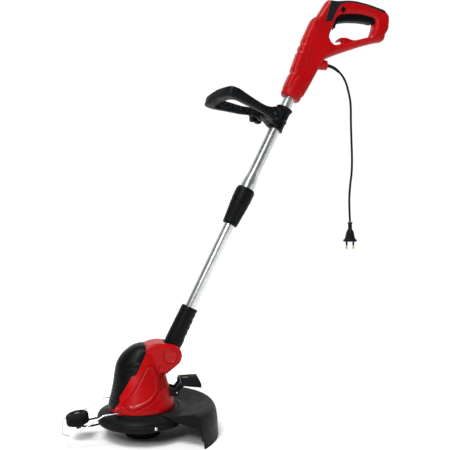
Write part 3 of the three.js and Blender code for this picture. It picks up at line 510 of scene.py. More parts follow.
ALONG_SHAFT = ((0, radians(-SHAFT_LEAN), 0), (900, 900, 14))
WORN_RED = (0.48, 0.012, 0.02)
RED = plastic(
    "red_plastic", (0.38, 0.0005, 0.002), (0.31, 0.0005, 0.0015), WORN_RED, 0.36, 1400, 0.02, 0.03, 0.14
)
RED_PANEL = plastic(
    "red_panel", (0.36, 0.0005, 0.002), (0.29, 0.0005, 0.0015), WORN_RED, 0.3, 900, 0.02, 0.05, 0.2
)
BLACK = plastic(
    "black_plastic", (0.0032, 0.0038, 0.0046), (0.002, 0.0024, 0.003), (0.016, 0.018, 0.021), 0.4, 1100, 0.06
)
GUARD_BLACK = plastic(
    "guard_plastic", (0.0042, 0.0048, 0.0048), (0.0026, 0.003, 0.003), (0.017, 0.018, 0.018), 0.5, 700, 0.08
)
COVER_BLACK = plastic(
    "cover_plastic", (0.0026, 0.0032, 0.0034), (0.0016, 0.002, 0.0022), (0.014, 0.017, 0.017), 0.36, 1300, 0.04
)
SOFT = textured_rubber("soft_grip", (0.0055, 0.007, 0.008), (0.009, 0.011, 0.012), 1.7, 0.62)
RUBBER = textured_rubber("rubber", (0.0035, 0.004, 0.006), (0.007, 0.008, 0.011), 0.9, 0.58)
TREAD = textured_rubber("tread_rubber", (0.0035, 0.004, 0.0045), (0.009, 0.009, 0.009), 3.2, 0.72)
ALUMINIUM = metal("aluminium", (0.66, 0.69, 0.68), (0.52, 0.54, 0.54), 0.26, ALONG_SHAFT)
STEEL = metal("steel", (0.62, 0.63, 0.65), (0.42, 0.43, 0.45), 0.3)
WIRE_STEEL = metal("wire_steel", (0.78, 0.79, 0.82), (0.50, 0.52, 0.58), 0.22)
DARK_STEEL = metal("dark_steel", (0.05, 0.055, 0.06), (0.02, 0.022, 0.025), 0.3)
COPPER = metal("windings", (0.60, 0.22, 0.09), (0.35, 0.12, 0.05), 0.35)
BRASS = metal("brass", (0.55, 0.42, 0.20), (0.40, 0.30, 0.14), 0.33)
GREY = plastic("grey_plastic", (0.17, 0.20, 0.22), (0.12, 0.14, 0.16), (0.3, 0.33, 0.35), 0.45, 1200, 0.03)
NYLON = plastic("nylon_line", (0.65, 0.16, 0.02), (0.50, 0.11, 0.02), (0.8, 0.3, 0.1), 0.3, 1600, 0.02)


def piece(obj, name, look, body, *stands_for, sharp=32):
    """Names a finished solid, shades it, and hangs it on its body."""
    obj.name = name
    obj.data.name = name
    obj.data.materials.clear()
    obj.data.materials.append(look)
    obj.data.shade_smooth()
    obj.data.set_sharp_from_angle(angle=radians(sharp))
    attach(obj, body)
    if stands_for:
        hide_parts(*stands_for)
    return obj


# ---------------------------------------------------------------- camera, floor and light

CAMERA_SPOT = (-0.1566, -1.4378, 0.5)
CAMERA_AZIMUTH = 14
WORLD_FRONT, WORLD_BACK = 0.16, 1.02  # the strength behind the camera and behind the object

camera = add(bpy.data.objects.new("camera", bpy.data.cameras.new("camera")))
camera.location = CAMERA_SPOT
camera.rotation_euler = (radians(90), 0, radians(-CAMERA_AZIMUTH))
camera.data.lens = 48
camera.data.sensor_width = 36
bpy.context.scene.camera = camera
bpy.context.scene.view_settings.view_transform = "Standard"


def make_floor():
    """A wide, flat, pale studio floor."""
    sides, rings = 96, (0.5, 2, 8, 40)
    verts = [(0, 0, 0)]
    for r in rings:
        angles = np.arange(sides) * 2 * pi / sides
        verts += [(1000 * r * cos(a), 1000 * r * sin(a), 0) for a in angles]
    mesh = bpy.data.meshes.new("floor")
    faces = [(0, 1 + k, 1 + (k + 1) % sides) for k in range(sides)]
    faces += [tuple(1 + i for i in face) for face in tube_faces(len(rings), sides)]
    mesh.from_pydata([tuple(MM * c for c in v) for v in verts], [], faces)
    obj = add(bpy.data.objects.new("floor", mesh))
    look, tree, shader = material("floor")
    colour = blend_colours(tree, spread(tree, noise(tree, 3, 4), 0, 1), (0.87,) * 3, (0.90,) * 3)
    tree.links.new(colour, shader.inputs["Base Color"])
    shader.inputs["Roughness"].default_value = 0.9
    shader.inputs["Specular IOR Level"].default_value = 0.2
    obj.data.materials.append(look)


def add_light(name, kind, spot, aim, power, size):
    data = bpy.data.lights.new(name, kind)
    data.energy = power
    if kind == "SUN":
        data.angle = radians(size)
    else:
        data.shape = "DISK"
        data.size = size
    lamp = add(bpy.data.objects.new(name, data))
    lamp.location = spot
    lamp.rotation_euler = (Vector(aim) - Vector(spot)).to_track_quat("-Z", "Y").to_euler()
    lamp.visible_camera = False


def make_world():
    """A white studio wall behind the object that fades to grey behind the camera."""
    world = bpy.data.worlds.new("studio")
    world.use_nodes = True
    tree = world.node_tree
    place = tree.nodes.new("ShaderNodeTexCoord").outputs["Generated"]
    facing = tree.nodes.new("ShaderNodeVectorMath")
    facing.operation = "DOT_PRODUCT"
    azimuth = radians(CAMERA_AZIMUTH)
    facing.inputs[1].default_value = (sin(azimuth), cos(azimuth), 0)
    tree.links.new(place, facing.inputs[0])
    strength = spread(tree, facing.outputs["Value"], WORLD_FRONT, WORLD_BACK, -0.1, 0.75)
    tree.links.new(strength, tree.nodes["Background"].inputs["Strength"])
    tree.nodes["Background"].inputs["Color"].default_value = (1, 1, 1, 1)
    bpy.context.scene.world = world


make_floor()
make_world()
add_light("sun", "SUN", (-0.9, -1.2, 2.6), (0, 0, 0), 2.7, 25)
add_light("key", "AREA", (-1.0, -1.7, 1.5), (0.2, 0, 0.6), 22, 0.7)
add_light("rim", "AREA", (1.5, 0.9, 1.6), (0.2, 0, 0.6), 14, 0.8)

# ---------------------------------------------------------------- cord and plug

CORD_RADIUS = 2.8
CORD_EXIT = 911.5  # the height where the cord leaves the handle's boss
RELIEF_ROUTE = [(462, CORD_EXIT), (472, 911.3), (484, 909), (495, 904.5), (506, 897)]
CORD_ROUTE = [
    (506.3, 896.7), (513, 890.5), (520, 881), (527, 867), (533, 847), (537.5, 827), (539.7, 803),
    (540, 770), (541.4, 724), (543, 678), (542.2, 638), (538, 604), (535.5, 568), (536.3, 531),
    (537.5, 507.9),
]
PLUG_X = 537.5
PLUG_FACE = 456.5
PLUG_TOP = 507.5
PLUG_SIDES = 64
PIN_SPACING = 19


def upright(route):
    return [(x, 0, z) for x, z in route]


cord_line = spline(upright(CORD_ROUTE), 6)
cord = piece(sweep(cord_line, CORD_RADIUS, 20), "cord", RUBBER, "upper_shaft", "power_cord")


def make_strain_relief():
    """A tapered sleeve with a bending notch every few millimetres."""
    line = spline(upright(RELIEF_ROUTE), 16)
    along = np.linspace(0, 1, len(line))
    notch = 0.45 * (np.cos(along * 2 * pi * 9) > 0.1) * (along > 0.25) * (along < 0.93)
    return sweep(line, 5.0 - 1.3 * along - notch, 24)


piece(make_strain_relief(), "strain_relief_sleeve", RUBBER, "upper_shaft", "strain_relief", sharp=25)


def plug_section(front, half, z):
    """One level ring of the plug: a rounded box below, and an oval at its neck."""
    power = 2.6 if z < 484 else 2.0
    ring = []
    for k in range(PLUG_SIDES):
        c, s = cos(2 * pi * k / PLUG_SIDES), sin(2 * pi * k / PLUG_SIDES)
        across = front * copysign(abs(c) ** (2 / power), c)
        ring.append((PLUG_X + across, half * copysign(abs(s) ** (2 / power), s), z))
    return ring


def make_plug():
    """A two-pole plug: an oval flange, a waist to hold, and a ribbed neck for the cord."""
    rows = [
        (15.6, 11.2, PLUG_FACE), (17.2, 12.6, PLUG_FACE + 0.8), (17.5, 13.0, PLUG_FACE + 2.5),
        (17.2, 12.8, PLUG_FACE + 5), (14.6, 11.6, PLUG_FACE + 7), (12.8, 10.8, PLUG_FACE + 9),
        (11.2, 9.8, 472), (9.6, 8.6, 480), (8.4, 7.6, 485), (6.0, 5.8, 488),
    ]
    for k in range(6):
        level = 489.5 + 2.4 * k
        rows += [(5.6, 5.4, level), (4.9, 4.7, level + 1.0), (4.9, 4.7, level + 1.5)]
    rows += [(6.4, 6.4, 504.5), (6.6, 6.6, PLUG_TOP - 1), (5.8, 5.8, PLUG_TOP)]
    verts = [v for row in rows for v in plug_section(*row)]
    return solid(verts, capped_faces(len(rows), PLUG_SIDES))


plug = piece(make_plug(), "plug_body", RUBBER, "upper_shaft", "plug")
for side, sign in (("front", -1), ("rear", 1)):
    place = move(PLUG_X + sign * PIN_SPACING / 2, 0, 0)
    pin = disc(2.4, PLUG_FACE - 19, PLUG_FACE + 1, 1.3, 24, place)
    piece(pin, f"pin_{side}", BRASS, "upper_shaft", f"plug_pin_{side}")
    sleeve = disc(2.45, PLUG_FACE - 9, PLUG_FACE + 0.6, 0.2, 24, place)
    piece(sleeve, f"pin_sleeve_{side}", RUBBER, "upper_shaft")

# ---------------------------------------------------------------- deck

HOUSING_BASE = 68.3
DECK_RADIUS = 107
SKIRT_END = 46.5  # degrees from +X where the skirt stops on each side


def make_deck():
    """The round base under the motor, with a skirt that stops where the guard takes over."""
    upper = [
        (11.4, 52), (18, 52), (18, 56.5), (98, 56.5), (99.4, 50), (DECK_RADIUS - 0.3, 50),
        (DECK_RADIUS - 0.4, 53), (104.5, 57), (101, 60), (100.4, 60.2), (99.9, 59.6), (99.2, 59.7),
        (98.8, 60.7), (84, 66.5), (84, 68), (72, 68), (72, 60.5), (18, 60.5), (18, 70), (11.4, 70),
    ]
    skirt = [(99.2, 50.2), (101, 37.6), (102.3, 36.8), (103.8, 37.2), (105.5, 40), (106.8, 43), (106.8, 50.2)]
    body = lathe(rounded(upper, 1.2, 3), 144)
    lip = lathe(rounded(skirt, 1.0, 3), 144)
    reach = 150
    angle = radians(SKIRT_END)
    corner = (reach * cos(angle), reach * sin(angle))
    wedge = [(20, -21), (corner[0], -corner[1]), (corner[0] + 40, 0), corner, (20, 21)]
    return join(body, cut(lip, prism(wedge, 20, 49.9)))


piece(make_deck(), "deck_shell", GUARD_BLACK, "head", "deck")

for name, sign in (("left", -1), ("right", 1)):
    place = turn(sign * 80.4, "Z") @ move(105, 0, 45.5) @ turn(90, "Y")
    head = lathe([(0, 0), (3.6, 0), (3.6, 2.2), (2.6, 3.2), (1.5, 3.3), (1.5, 2.2), (0, 2.2)], 40, place)
    piece(head, f"rim_screw_{name}", STEEL, "head")

# ---------------------------------------------------------------- spool


def make_drum():
    outer = [
        (15.6, 0.1), (34, 0.1), (42, 4.5), (45, 12), (45, 36), (42, 36), (42, 8), (20, 8), (20, 4),
        (15.6, 4),
    ]

    def grips(radius, height, angle):
        on_side = (radius > 43) & (height > 9) & (height < 27)
        return np.where(on_side, -0.9 * (np.cos(24 * angle) > 0.55), 0)

    profile = divided(rounded(outer, 1.5, 3), 3)
    drum = lathe(profile, 192, wave=grips)
    for turned in (-52, 128):
        place = move(0, 0, 23.5) @ turn(turned, "Z") @ turn(90, "Y")
        cut(drum, disc(3.7, 38, 50, 0.1, 24, place))
    hub = lathe([(4.1, 33), (42.4, 33), (42.4, 35.9), (8, 35.9), (8, 51), (4.1, 51)], 64)
    return join(drum, hub)


piece(make_drum(), "spool_cup", BLACK, "spool", "spool_drum", sharp=28)


def make_bump_knob():
    line = [
        (0, 0.05), (9, 0.05), (10, 0.9), (12.6, 0.9), (14.8, 0.4), (14.8, 4.3), (18.4, 4.3), (18.4, 7.3),
        (0, 7.3),
    ]
    return lathe([line[0], *rounded(line, 0.5, 2)[3:-3], line[-1]], 72)


piece(make_bump_knob(), "bump_button", BLACK, "knob", "bump_knob")


def coil(low, high, radius, wire, turns):
    """A compression spring round the Z axis, its last turns lying flat."""
    count = turns * 20
    rows = []
    for k in range(count + 1):
        share = k / count
        rise = np.clip((share * turns - 0.8) / (turns - 1.6), 0, 1)
        angle = 2 * pi * share * turns
        height = low + wire + (high - low - 2 * wire) * rise
        rows.append((radius * cos(angle), radius * sin(angle), height))
    return sweep(rows, wire, 10)


spring = piece(coil(8.8, 30.9, 6.2, 0.75, 8), "bump_spring_coil", STEEL, "spool", "bump_spring")
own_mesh(spring)

# ---------------------------------------------------------------- guard

CUT_ANGLE = 33
CUT_SLOPE = tan(radians(CUT_ANGLE))
CUT_X, CUT_Y = 57, 95  # a point on each straight side edge


def side_angle(radius, inset):
    """Where a circle of that radius meets the guard's side edge, as an angle from +X."""
    offset = CUT_Y - CUT_X * CUT_SLOPE - inset / cos(radians(CUT_ANGLE))
    low, high = 0.0, pi
    for _ in range(40):
        middle = (low + high) / 2
        beyond = radius * sin(middle) > offset + CUT_SLOPE * radius * cos(middle)
        low, high = (low, middle) if beyond else (middle, high)
    return low


def guard_fan(profile, inset, columns=96):
    """A closed profile turned about Z as far as the guard's side edges."""
    verts = []
    for radius, height in profile:
        reach = side_angle(radius, inset)
        for k in range(columns):
            angle = reach * (2 * k / (columns - 1) - 1)
            verts.append((radius * cos(angle), radius * sin(angle), height))
    rows = len(profile)
    faces = []
    for i in range(rows):
        a, b = i * columns, (i + 1) % rows * columns
        faces += [(a + j, a + j + 1, b + j + 1, b + j) for j in range(columns - 1)]
    faces.append([i * columns for i in range(rows)])
    faces.append([i * columns + columns - 1 for i in range(rows)][::-1])
    return solid(verts, faces)


def make_guard():
    outer = [
        (86, 69.4), (94, 67.2), (101, 64.6), (110, 66.5), (125, 70), (140, 73), (152, 75.6), (160, 76.5),
        (165, 75.3), (169, 71.5), (173.5, 64), (175.6, 55), (177.6, 40),
    ]
    under = [
        (175, 40), (172.8, 55), (170.5, 62.5), (166, 69.4), (160, 73.2), (152, 72.4), (140, 69.8),
        (112, 63.3), (108, 60.9), (101.6, 61), (86, 66.9),
    ]
    notch = 17
    top = guard_fan([*outer, (178.9, notch), (176.4, notch), *under], 0)
    bottom = guard_fan([(178.8, notch + 1), (180, 0), (177.4, 0), (176.3, notch + 1)], 7, 80)
    shell = join(top, bottom)
    solid_fan = [*outer, (177.6, 30), (110, 30), (86, 60)]
    for sign in (-1, 1):
        strip = side_prism([(-6, 57), (74, 41), (94, 41), (94, 90), (-6, 90)], 0, 3, turn(-CUT_ANGLE, "Z"))
        strip.data.transform(move(CUT_X * MM, -CUT_Y * MM, 0))
        if sign > 0:
            other = mirrored(strip)
            bpy.data.objects.remove(strip)
            strip = other
        join(shell, keep(strip, guard_fan(solid_fan, 0)))
    return soften(shell, 1.2, 2)


piece(make_guard(), "guard_shell", GUARD_BLACK, "head", "guard")

# ---------------------------------------------------------------- motor housing

LEVELS = [
    (HOUSING_BASE, -82, 77, 79), (80, -81, 75, 78), (95, -77.5, 68, 73), (115, -73, 62, 66),
    (136, -69.5, 56, 59), (155, -67, 53, 52), (175, -62.5, 51, 46), (193, -52, 48, 41),
    (206, -38, 40, 36), (214, -25, 26, 28), (217.6, -14, 10, 17), (218.8, -6, 2, 6),
]
HOUSING_LEVELS = spline(LEVELS, 6)  # height, front, rear and half width
SEAM = [(2.5, 201), (-21, 155.5), (-32, 151), (-59, 105), (-59, 94), (-70, 78), (-76, 72)]
PIVOT_X, PIVOT_Z = 60, 190
WIRE_PIVOT = (-59, 75.5)
PEDAL_PIVOT = (78, 100)
HEAD_TILT = 45
HOUSING_SIDES = 128
PANEL = [
    (6, 171), (20, 172), (28.5, 147), (28, 114), (11, 97), (-12, 87), (-34, 80), (-46, 87), (-50, 93),
    (-26, 121),
]
CHEEK = 38


def housing_loft(inset, base=HOUSING_BASE):
    """The motor housing's body, each level an oval between its front and rear."""
    verts = []
    for k, (z, front, rear, half) in enumerate(HOUSING_LEVELS):
        level = base if k == 0 else z - inset
        middle, reach = (front + rear) / 2, (rear - front) / 2 - inset
        reach, half = max(reach, 0.5), max(half - inset, 0.5)
        for j in range(HOUSING_SIDES):
            a = 2 * pi * j / HOUSING_SIDES
            verts.append((middle + reach * cos(a), half * sin(a), level))
    return solid(verts, capped_faces(len(HOUSING_LEVELS), HOUSING_SIDES))


def flank(points):
    """The housing's half width at each (x, z) point."""
    z = points[:, 1]
    front, rear, half = (np.interp(z, HOUSING_LEVELS[:, 0], HOUSING_LEVELS[:, i]) for i in (1, 2, 3))
    across = (points[:, 0] - (front + rear) / 2) / ((rear - front) / 2)
    return half * np.sqrt(np.maximum(1 - across**2, 0.02))


def flank_plate(outline, rise, edge, sink, corner):
    """A plate that follows the housing's flank on the left side, raised above it with round edges."""

    def top(points, gap):
        return flank(points) + rise - edge + quarter(gap, edge)

    def bottom(points, gap):
        return flank(points) - sink

    return relief(rounded(outline, corner, 3), top, bottom, edge=edge, rings=3, spacing=2.6, at=SIDE)


def both(obj):
    """Joins a left-side solid with its mirror image."""
    return join(obj, mirrored(obj))


def surface_slots(outlines, depth):
    """Cutters that go only to a depth under the housing's surface, on both sides."""
    whole = joined([side_prism(outline, -100, 100) for outline in outlines])
    return cut(whole, housing_loft(depth, HOUSING_BASE - 8))


def bar(start, end, width):
    """The outline of a straight bar between two points."""
    a, b = np.array(start, float), np.array(end, float)
    way = (b - a) / np.linalg.norm(b - a)
    normal = np.array([-way[1], way[0]]) * width / 2
    return [a - normal, b - normal, b + normal, a + normal]


def make_housing():
    """The housing before it is carved and split: body, cheeks for the pivot, bosses for the wire pivot and
    raised steps on the flanks.
    """
    arc = []
    for angle in np.linspace(80, -45, 22):
        a = radians(angle)
        arc.append((PIVOT_X + 1.5 + 27.5 * cos(a), PIVOT_Z + 27.5 * sin(a)))
    side = [(-2, 150), (-4, 205), (2, 214), (20, 220.5), (38, 222), *arc, (50, 147)]
    cheeks = relief(rounded(side, 6, 3), round_edge(CHEEK, 7), edge=7, spacing=4, at=SIDE)
    body = join(housing_loft(0), cheeks)
    boss = both(cross_pin(10, *WIRE_PIVOT, 45, 63, 1.5))
    body = soften(join(body, boss), 1.5, 4)
    steps = []
    for along in (0, 0.25, 0.5, 0.75, 1):
        foot = np.array([-20 + 45 * along, 73 + 20 * along])
        outline = [foot, foot + (8.5, 4.2), foot + (4.5, 15), foot + (-4, 10.5)]
        steps.append(flank_plate(outline, 1.3, 1.0, 2.5, 1.5))
    return join(body, both(joined(steps)))


def carve_housing(body):
    """Opens the housing: its hollow, the neck's space, the holes and the vents."""
    room = CHEEK - 13.4
    lean = radians(SHAFT_LEAN)
    low = radians(SHAFT_LEAN + HEAD_TILT)
    middle = (lean + low) / 2

    def leaned(across, along, angle):
        c, s = cos(angle), sin(angle)
        return (PIVOT_X + across * c + along * s, PIVOT_Z - across * s + along * c)

    sweep_room = [
        leaned(-23.5, -8, lean),
        leaned(-23.5, 110, lean),
        leaned(0, 160, middle),
        leaned(23.5, 110, low),
        leaned(23.5, 0, low),
    ]
    deck_room = [(107.5, 30), (107.5, 53.2), (101.6, 60.5), (84.5, 67), (84.5, HOUSING_BASE)]
    tools = [
        housing_loft(3, HOUSING_BASE - 3),
        side_prism(sweep_room, -room, room),
        cross_pin(25.5, PIVOT_X, PIVOT_Z, -room, room, 0.1, 96),
        cross_pin(5.4, PIVOT_X, PIVOT_Z, -60, 60, 0.1),
        prism([(-150, -150), (150, -150), (150, 150), (-150, 150)], 20, HOUSING_BASE),
        lathe([(0, 30), *deck_room, (0, HOUSING_BASE)], 96),
    ]
    for sign in (-1, 1):
        for radius, (x, z), near, far, edge, sides in (
            (17.5, (PIVOT_X, PIVOT_Z), CHEEK - 4, 60, 0.1, 72),
            (2.1, WIRE_PIVOT, 53, 75, 0.1, 48),
            (6.2, WIRE_PIVOT, 61.6, 75, 0.3, 48),
        ):
            tools.append(cross_pin(radius, x, z, *sorted((sign * near, sign * far)), edge, sides))
    vents = [bar((32 + 0.4 * k, 147 - 6 * k), (44 + 0.9 * k, 154 - 6 * k), 3.0) for k in range(6)]
    tools.append(surface_slots(vents, 2.7))
    tools.append(surface_slots([rounded(grown(PANEL, 1.8), 5, 3)], 1.5))
    lines = [bar((47, 133), (50, 104), 1.2), bar((28.5, 147), (36, 172), 1.2)]
    tools.append(surface_slots(lines, 0.9))
    return cut(body, *tools)


def cover_zone(shift):
    """All of the space in front of the seam between the cover and the red halves."""
    edge = [(x - shift, z) for x, z in SEAM]
    return side_prism([(SEAM[0][0] - shift, 240), *edge, (-120, 72 + shift), (-120, 240)], -120, 120)


housing = carve_housing(make_housing())


def make_pedal_lugs():
    lug = [(55, 92), (80, 93), (84.5, 100), (80, 107), (55, 116)]
    lugs = both(side_prism(rounded(lug, 3, 3), 17, 22))
    return cut(lugs, housing_loft(1.5), cross_pin(2.4, *PEDAL_PIVOT, -30, 30, 0.1))


cover = keep(twin(housing), cover_zone(0))
red = cut(housing, cover_zone(-0.5))
piece(make_pedal_lugs(), "pedal_lugs", BLACK, "head")
HALVES = (("left", -130, -0.15), ("right", 0.15, 130))
for side, low, high in HALVES:
    block = prism([(-130, low), (130, low), (130, high), (-130, high)], 0, 300)
    half = keep(twin(red), block)
    piece(half, f"housing_{side}", RED, "head", f"motor_housing_{side}")
bpy.data.objects.remove(red)


def make_cover(cover):
    """The dark front cover: louvres low at the front and a ribbed vent under a brow."""
    louvres = [bar((-100, 84 + 8 * k), (-60, 84 + 8 * k), 2.2) for k in range(9)]
    cut(cover, surface_slots(louvres, 1.6))
    recess = [(-46, 160), (-24, 160), (-3, 198), (-9, 193), (-40, 172)]
    cut(cover, surface_slots([rounded(recess, 3, 3)], 1.7))
    ribs = [bar((-46 + 2.2 * k, 163 + 3.9 * k), (-16 + 1.1 * k, 163 + 3.9 * k), 1.7) for k in range(7)]
    inner = keep(surface_slots(ribs, 3.4), side_prism(rounded(recess, 3, 3), -100, 100))
    return cut(cover, inner)


piece(make_cover(cover), "cover_shell", COVER_BLACK, "head", "front_cover")


def make_panel():
    """A trim panel with a rounded raised border along its lower edge."""
    plate = flank_plate(PANEL, 2.1, 1.8, 1.3, 5)
    inner = [
        (4, 166), (17, 166.5), (24, 146), (23.5, 117), (8, 102.5), (-12, 93), (-33, 86), (-41, 90),
        (-20, 121),
    ]

    def top(points, gap):
        fall = 1.2 - np.minimum(gap, 1.2)
        return flank(points) + 4 - np.sqrt(np.maximum(1.44 - fall**2, 0)) * 0.7

    def sunk(points, gap):
        return flank(points) + 2.1 - 0.9 * np.minimum(gap / 1.4, 1)

    well = relief(rounded(inner, 4, 3), top, sunk, edge=1.4, rings=3, spacing=2.6, at=SIDE)
    return cut(plate, well)


left_panel = make_panel()
right_panel = mirrored(left_panel)
piece(left_panel, "panel_left", RED_PANEL, "head", "side_panel_left")
piece(right_panel, "panel_right", RED_PANEL, "head", "side_panel_right")

for side, sign in (("left", 1), ("right", -1)):
    dish = [
        (0, 33.9), (15.9, 33.9), (16, 37.2), (15.2, 37.9), (13.6, 37.8), (12.6, 36.9), (6, 36.6),
        (0, 36.6),
    ]
    cap = lathe(dish, 72, move(PIVOT_X, 0, PIVOT_Z) @ turn(sign * 90, "X"))
    piece(cap, f"hinge_cap_{side}", RED_PANEL, "head", f"pivot_cap_{side}")

# ---------------------------------------------------------------- guide wheel and wires

WHEEL_HALF = 13.5


def make_wheel():
    """A knobbly wheel with a groove round its middle."""
    section = [
        (3.3, -WHEEL_HALF), (19, -WHEEL_HALF), (24.8, -10.8), (26, -6), (26, -1.4), (24.4, -1), (24.4, 1),
        (26, 1.4), (26, 6), (24.8, 10.8), (20.5, WHEEL_HALF), (16, WHEEL_HALF), (13, 9.5), (3.3, 9.5),
    ]

    def knobs(radius, height, angle):
        tread = radius > 23.5
        return np.where(tread, -1.5 * (np.cos(18 * angle + 0.6 * np.sign(height)) > 0.35), 0)

    return lathe(divided(rounded(section, 0.9, 2), 2.5), 180, WHEEL, knobs)


piece(make_wheel(), "edge_wheel", TREAD, "wheel", "guide_wheel", sharp=25)
fork_side = [(52, 24), (30, 24), (17, 20), (8, 11)]
fork_nose = [(2, 5.6), (-4, 4.6), (-6, 0), (-4, -4.6), (2, -5.6)]
fork_route = fork_side + fork_nose + [(x, -y) for x, y in reversed(fork_side)]
fork_line = spline([(x, y, -WHEEL_HALF - 2.5) for x, y in fork_route], 8)
piece(sweep(fork_line, 2.2, 16, WHEEL), "fork_wire", BLACK, "head", "wheel_fork")


def make_wire_guard():
    x, z = WIRE_PIVOT
    half = [
        (x, 57, z), (x, 63, z), (x - 1.5, 67.5, z), (x - 6, 69, z), (-78, 69, 74.5), (-92, 69, 73),
        (-99, 69, 70.5), (-130, 69, 52), (-158, 69, 36), (-170, 67, 34), (-180, 60, 34), (-185, 48, 34),
        (-186, 30, 34),
    ]
    line = half + [(-186, 0, 34)] + [(a, -b, c) for a, b, c in reversed(half)]
    return sweep(spline(line, 7), 1.5, 14)


piece(make_wire_guard(), "wire_loop", WIRE_STEEL, "plant_guard", "wire_guard")

# ---------------------------------------------------------------- foot pedal


def make_pedal():
    """An arched plate on two arms, ribbed on its rear half."""
    ring_side = [(33, 86), (38, 86), (38, 136), (33, 136)]
    arch = lathe(divided(rounded(ring_side, 1.4, 3), 4), 144, move(0, 0, 98) @ turn(90, "Y"))
    wedge = [(86, 118), (140, 111), (130, 134), (128.6, 142), (89.5, 142), (88, 134)]
    pad = keep(arch, side_prism(rounded(wedge, 1.5, 3), -60, 60))
    grooves = [side_prism(bar((110 + 4.4 * k, 134.6), (110 + 4.4 * k, 150), 1.6), -60, 60) for k in range(5)]
    cut(pad, *grooves)
    arm = [(73, 96), (82, 95), (89, 106), (104, 119), (104, 130), (89, 130), (84, 118), (72, 105)]
    arms = both(join(side_prism(rounded(arm, 3, 3), 11, 16), cross_pin(6, *PEDAL_PIVOT, 11, 16)))
    cut(arms, cross_pin(2.4, *PEDAL_PIVOT, -30, 30, 0.1))
    join(pad, arms)
    for low in (3.7, -14.3):
        cut(pad, prism([(93, low), (107, low), (107, low + 10.6), (93, low + 10.6)], 131.5, 150))
    return pad


piece(make_pedal(), "pedal_plate", BLACK, "pedal", "foot_pedal")

# ---------------------------------------------------------------- neck, tubes and lock

NECK_TOP = 123
TUBE_WALL = 1.1


def make_neck():
    """The neck that holds the lower tube, with stepped grips on its rear side."""
    column = [
        (0, 14), (21, 14), (22.2, 36), (20.9, 112), (20.9, NECK_TOP - 3), (19.2, NECK_TOP),
        (12.95, NECK_TOP), (12.95, 61), (0, 61),
    ]

    def steps(radius, height, angle):
        rear = np.clip(np.cos(angle) * 2.2 - 0.6, 0, 1)
        tooth = ((height - 42) % 15) / 15
        zone = (radius > 18) & (height > 42) & (height < 118)
        return np.where(zone, -1.6 * rear * tooth, 0)

    profile = [(0, 14), *divided(rounded(column, 1.2, 3), 1.5)[4:], (0, 61)]
    body = lathe(profile, 96, SHAFT, steps)
    barrel = cross_pin(24, 0, 0, -24, 24, 1.5, 72, SHAFT)
    return cut(join(body, barrel), cross_pin(5.2, 0, 0, -30, 30, 0.1, 32, SHAFT))


piece(make_neck(), "neck_shell", BLACK, "lower_shaft", "neck", sharp=28)


def tube(outer):
    inner = [(r - TUBE_WALL, z) for r, z in reversed(outer)]
    return lathe([*outer, *inner], 96, SHAFT)


lower_line = [(12.7, 60.4), (12.7, 200), (12.7, 360), (12.7, 514), (12.3, 514.8)]
piece(tube(lower_line), "tube_lower", ALUMINIUM, "lower_shaft", "lower_tube")
upper_line = [(17.5, 411.2), (17.5, 456), (17.1, 462), (14.6, 480), (14, 488), (14, 620), (14, 759.8)]
piece(tube(upper_line), "tube_upper", ALUMINIUM, "upper_shaft", "upper_tube")


def flutes(count, depth, low, high, least):
    """Finger grooves along a turned piece, between two heights."""

    def wave(radius, height, angle):
        fade = np.clip(np.minimum(height - low, high - height) / 4, 0, 1)
        groove = np.clip(np.cos(count * angle) * 1.6 - 0.4, 0, 1)
        return np.where(radius > least, -depth * fade * groove, 0)

    return wave


sleeve_line = [
    (13.2, 347), (18, 347), (19, 351), (20, 366), (22.8, 398), (23.2, 401), (23.2, 406.8), (17.3, 406.8),
    (17.3, 369), (13.2, 365),
]
sleeve = lathe(divided(rounded(sleeve_line, 1.2, 3), 2), 192, SHAFT, flutes(18, 1.2, 356, 403, 17.6))
piece(sleeve, "sleeve_shell", BLACK, "sleeve", "lock_sleeve", sharp=28)
collar_line = [
    (16.7, 407.4), (22.6, 407.4), (23.4, 409), (24, 413), (24, 439), (23, 442), (21, 446.6),
    (17.7, 446.6), (17.7, 410.6), (16.7, 410.6),
]
collar = lathe(divided(rounded(collar_line, 0.9, 3), 2), 96, SHAFT)
piece(collar, "collar_shell", BLACK, "upper_shaft", "lock_collar", sharp=28)

# ---------------------------------------------------------------- loop handle

BOLT_OUT, BOLT_ALONG = 35, 638


def make_clamp():
    """The clamp round the upper tube, with a flared lip and two ears for the bolt."""
    band = [
        (13, 613), (19.6, 613), (20.2, 615), (18.6, 619), (18.4, 636), (20.2, 638), (20.2, 641),
        (18.4, 643), (18.4, 664), (21.6, 672.5), (21.4, 674), (13, 674),
    ]
    ring = lathe(band, 72, CLAMP)
    hub = cross_pin(16, -BOLT_OUT, BOLT_ALONG, -24, 24, 1.0, 64, CLAMP)
    web = [(-BOLT_OUT, 623), (-8, 615), (-8, 668), (-BOLT_OUT + 2, 653.5)]
    body = soften(join(ring, hub, side_prism(web, -24, 24, CLAMP)), 1.0, 3)
    slit = side_prism([(-80, 600), (-12, 600), (-12, 700), (-80, 700)], -2, 2, CLAMP)
    bore = disc(14.1, 600, 690, 0.1, 72, CLAMP)
    return cut(body, slit, bore, cross_pin(3.4, -BOLT_OUT, BOLT_ALONG, -40, 40, 0.1, 32, CLAMP))


piece(make_clamp(), "clamp_shell", BLACK, "upper_shaft", "aux_clamp")


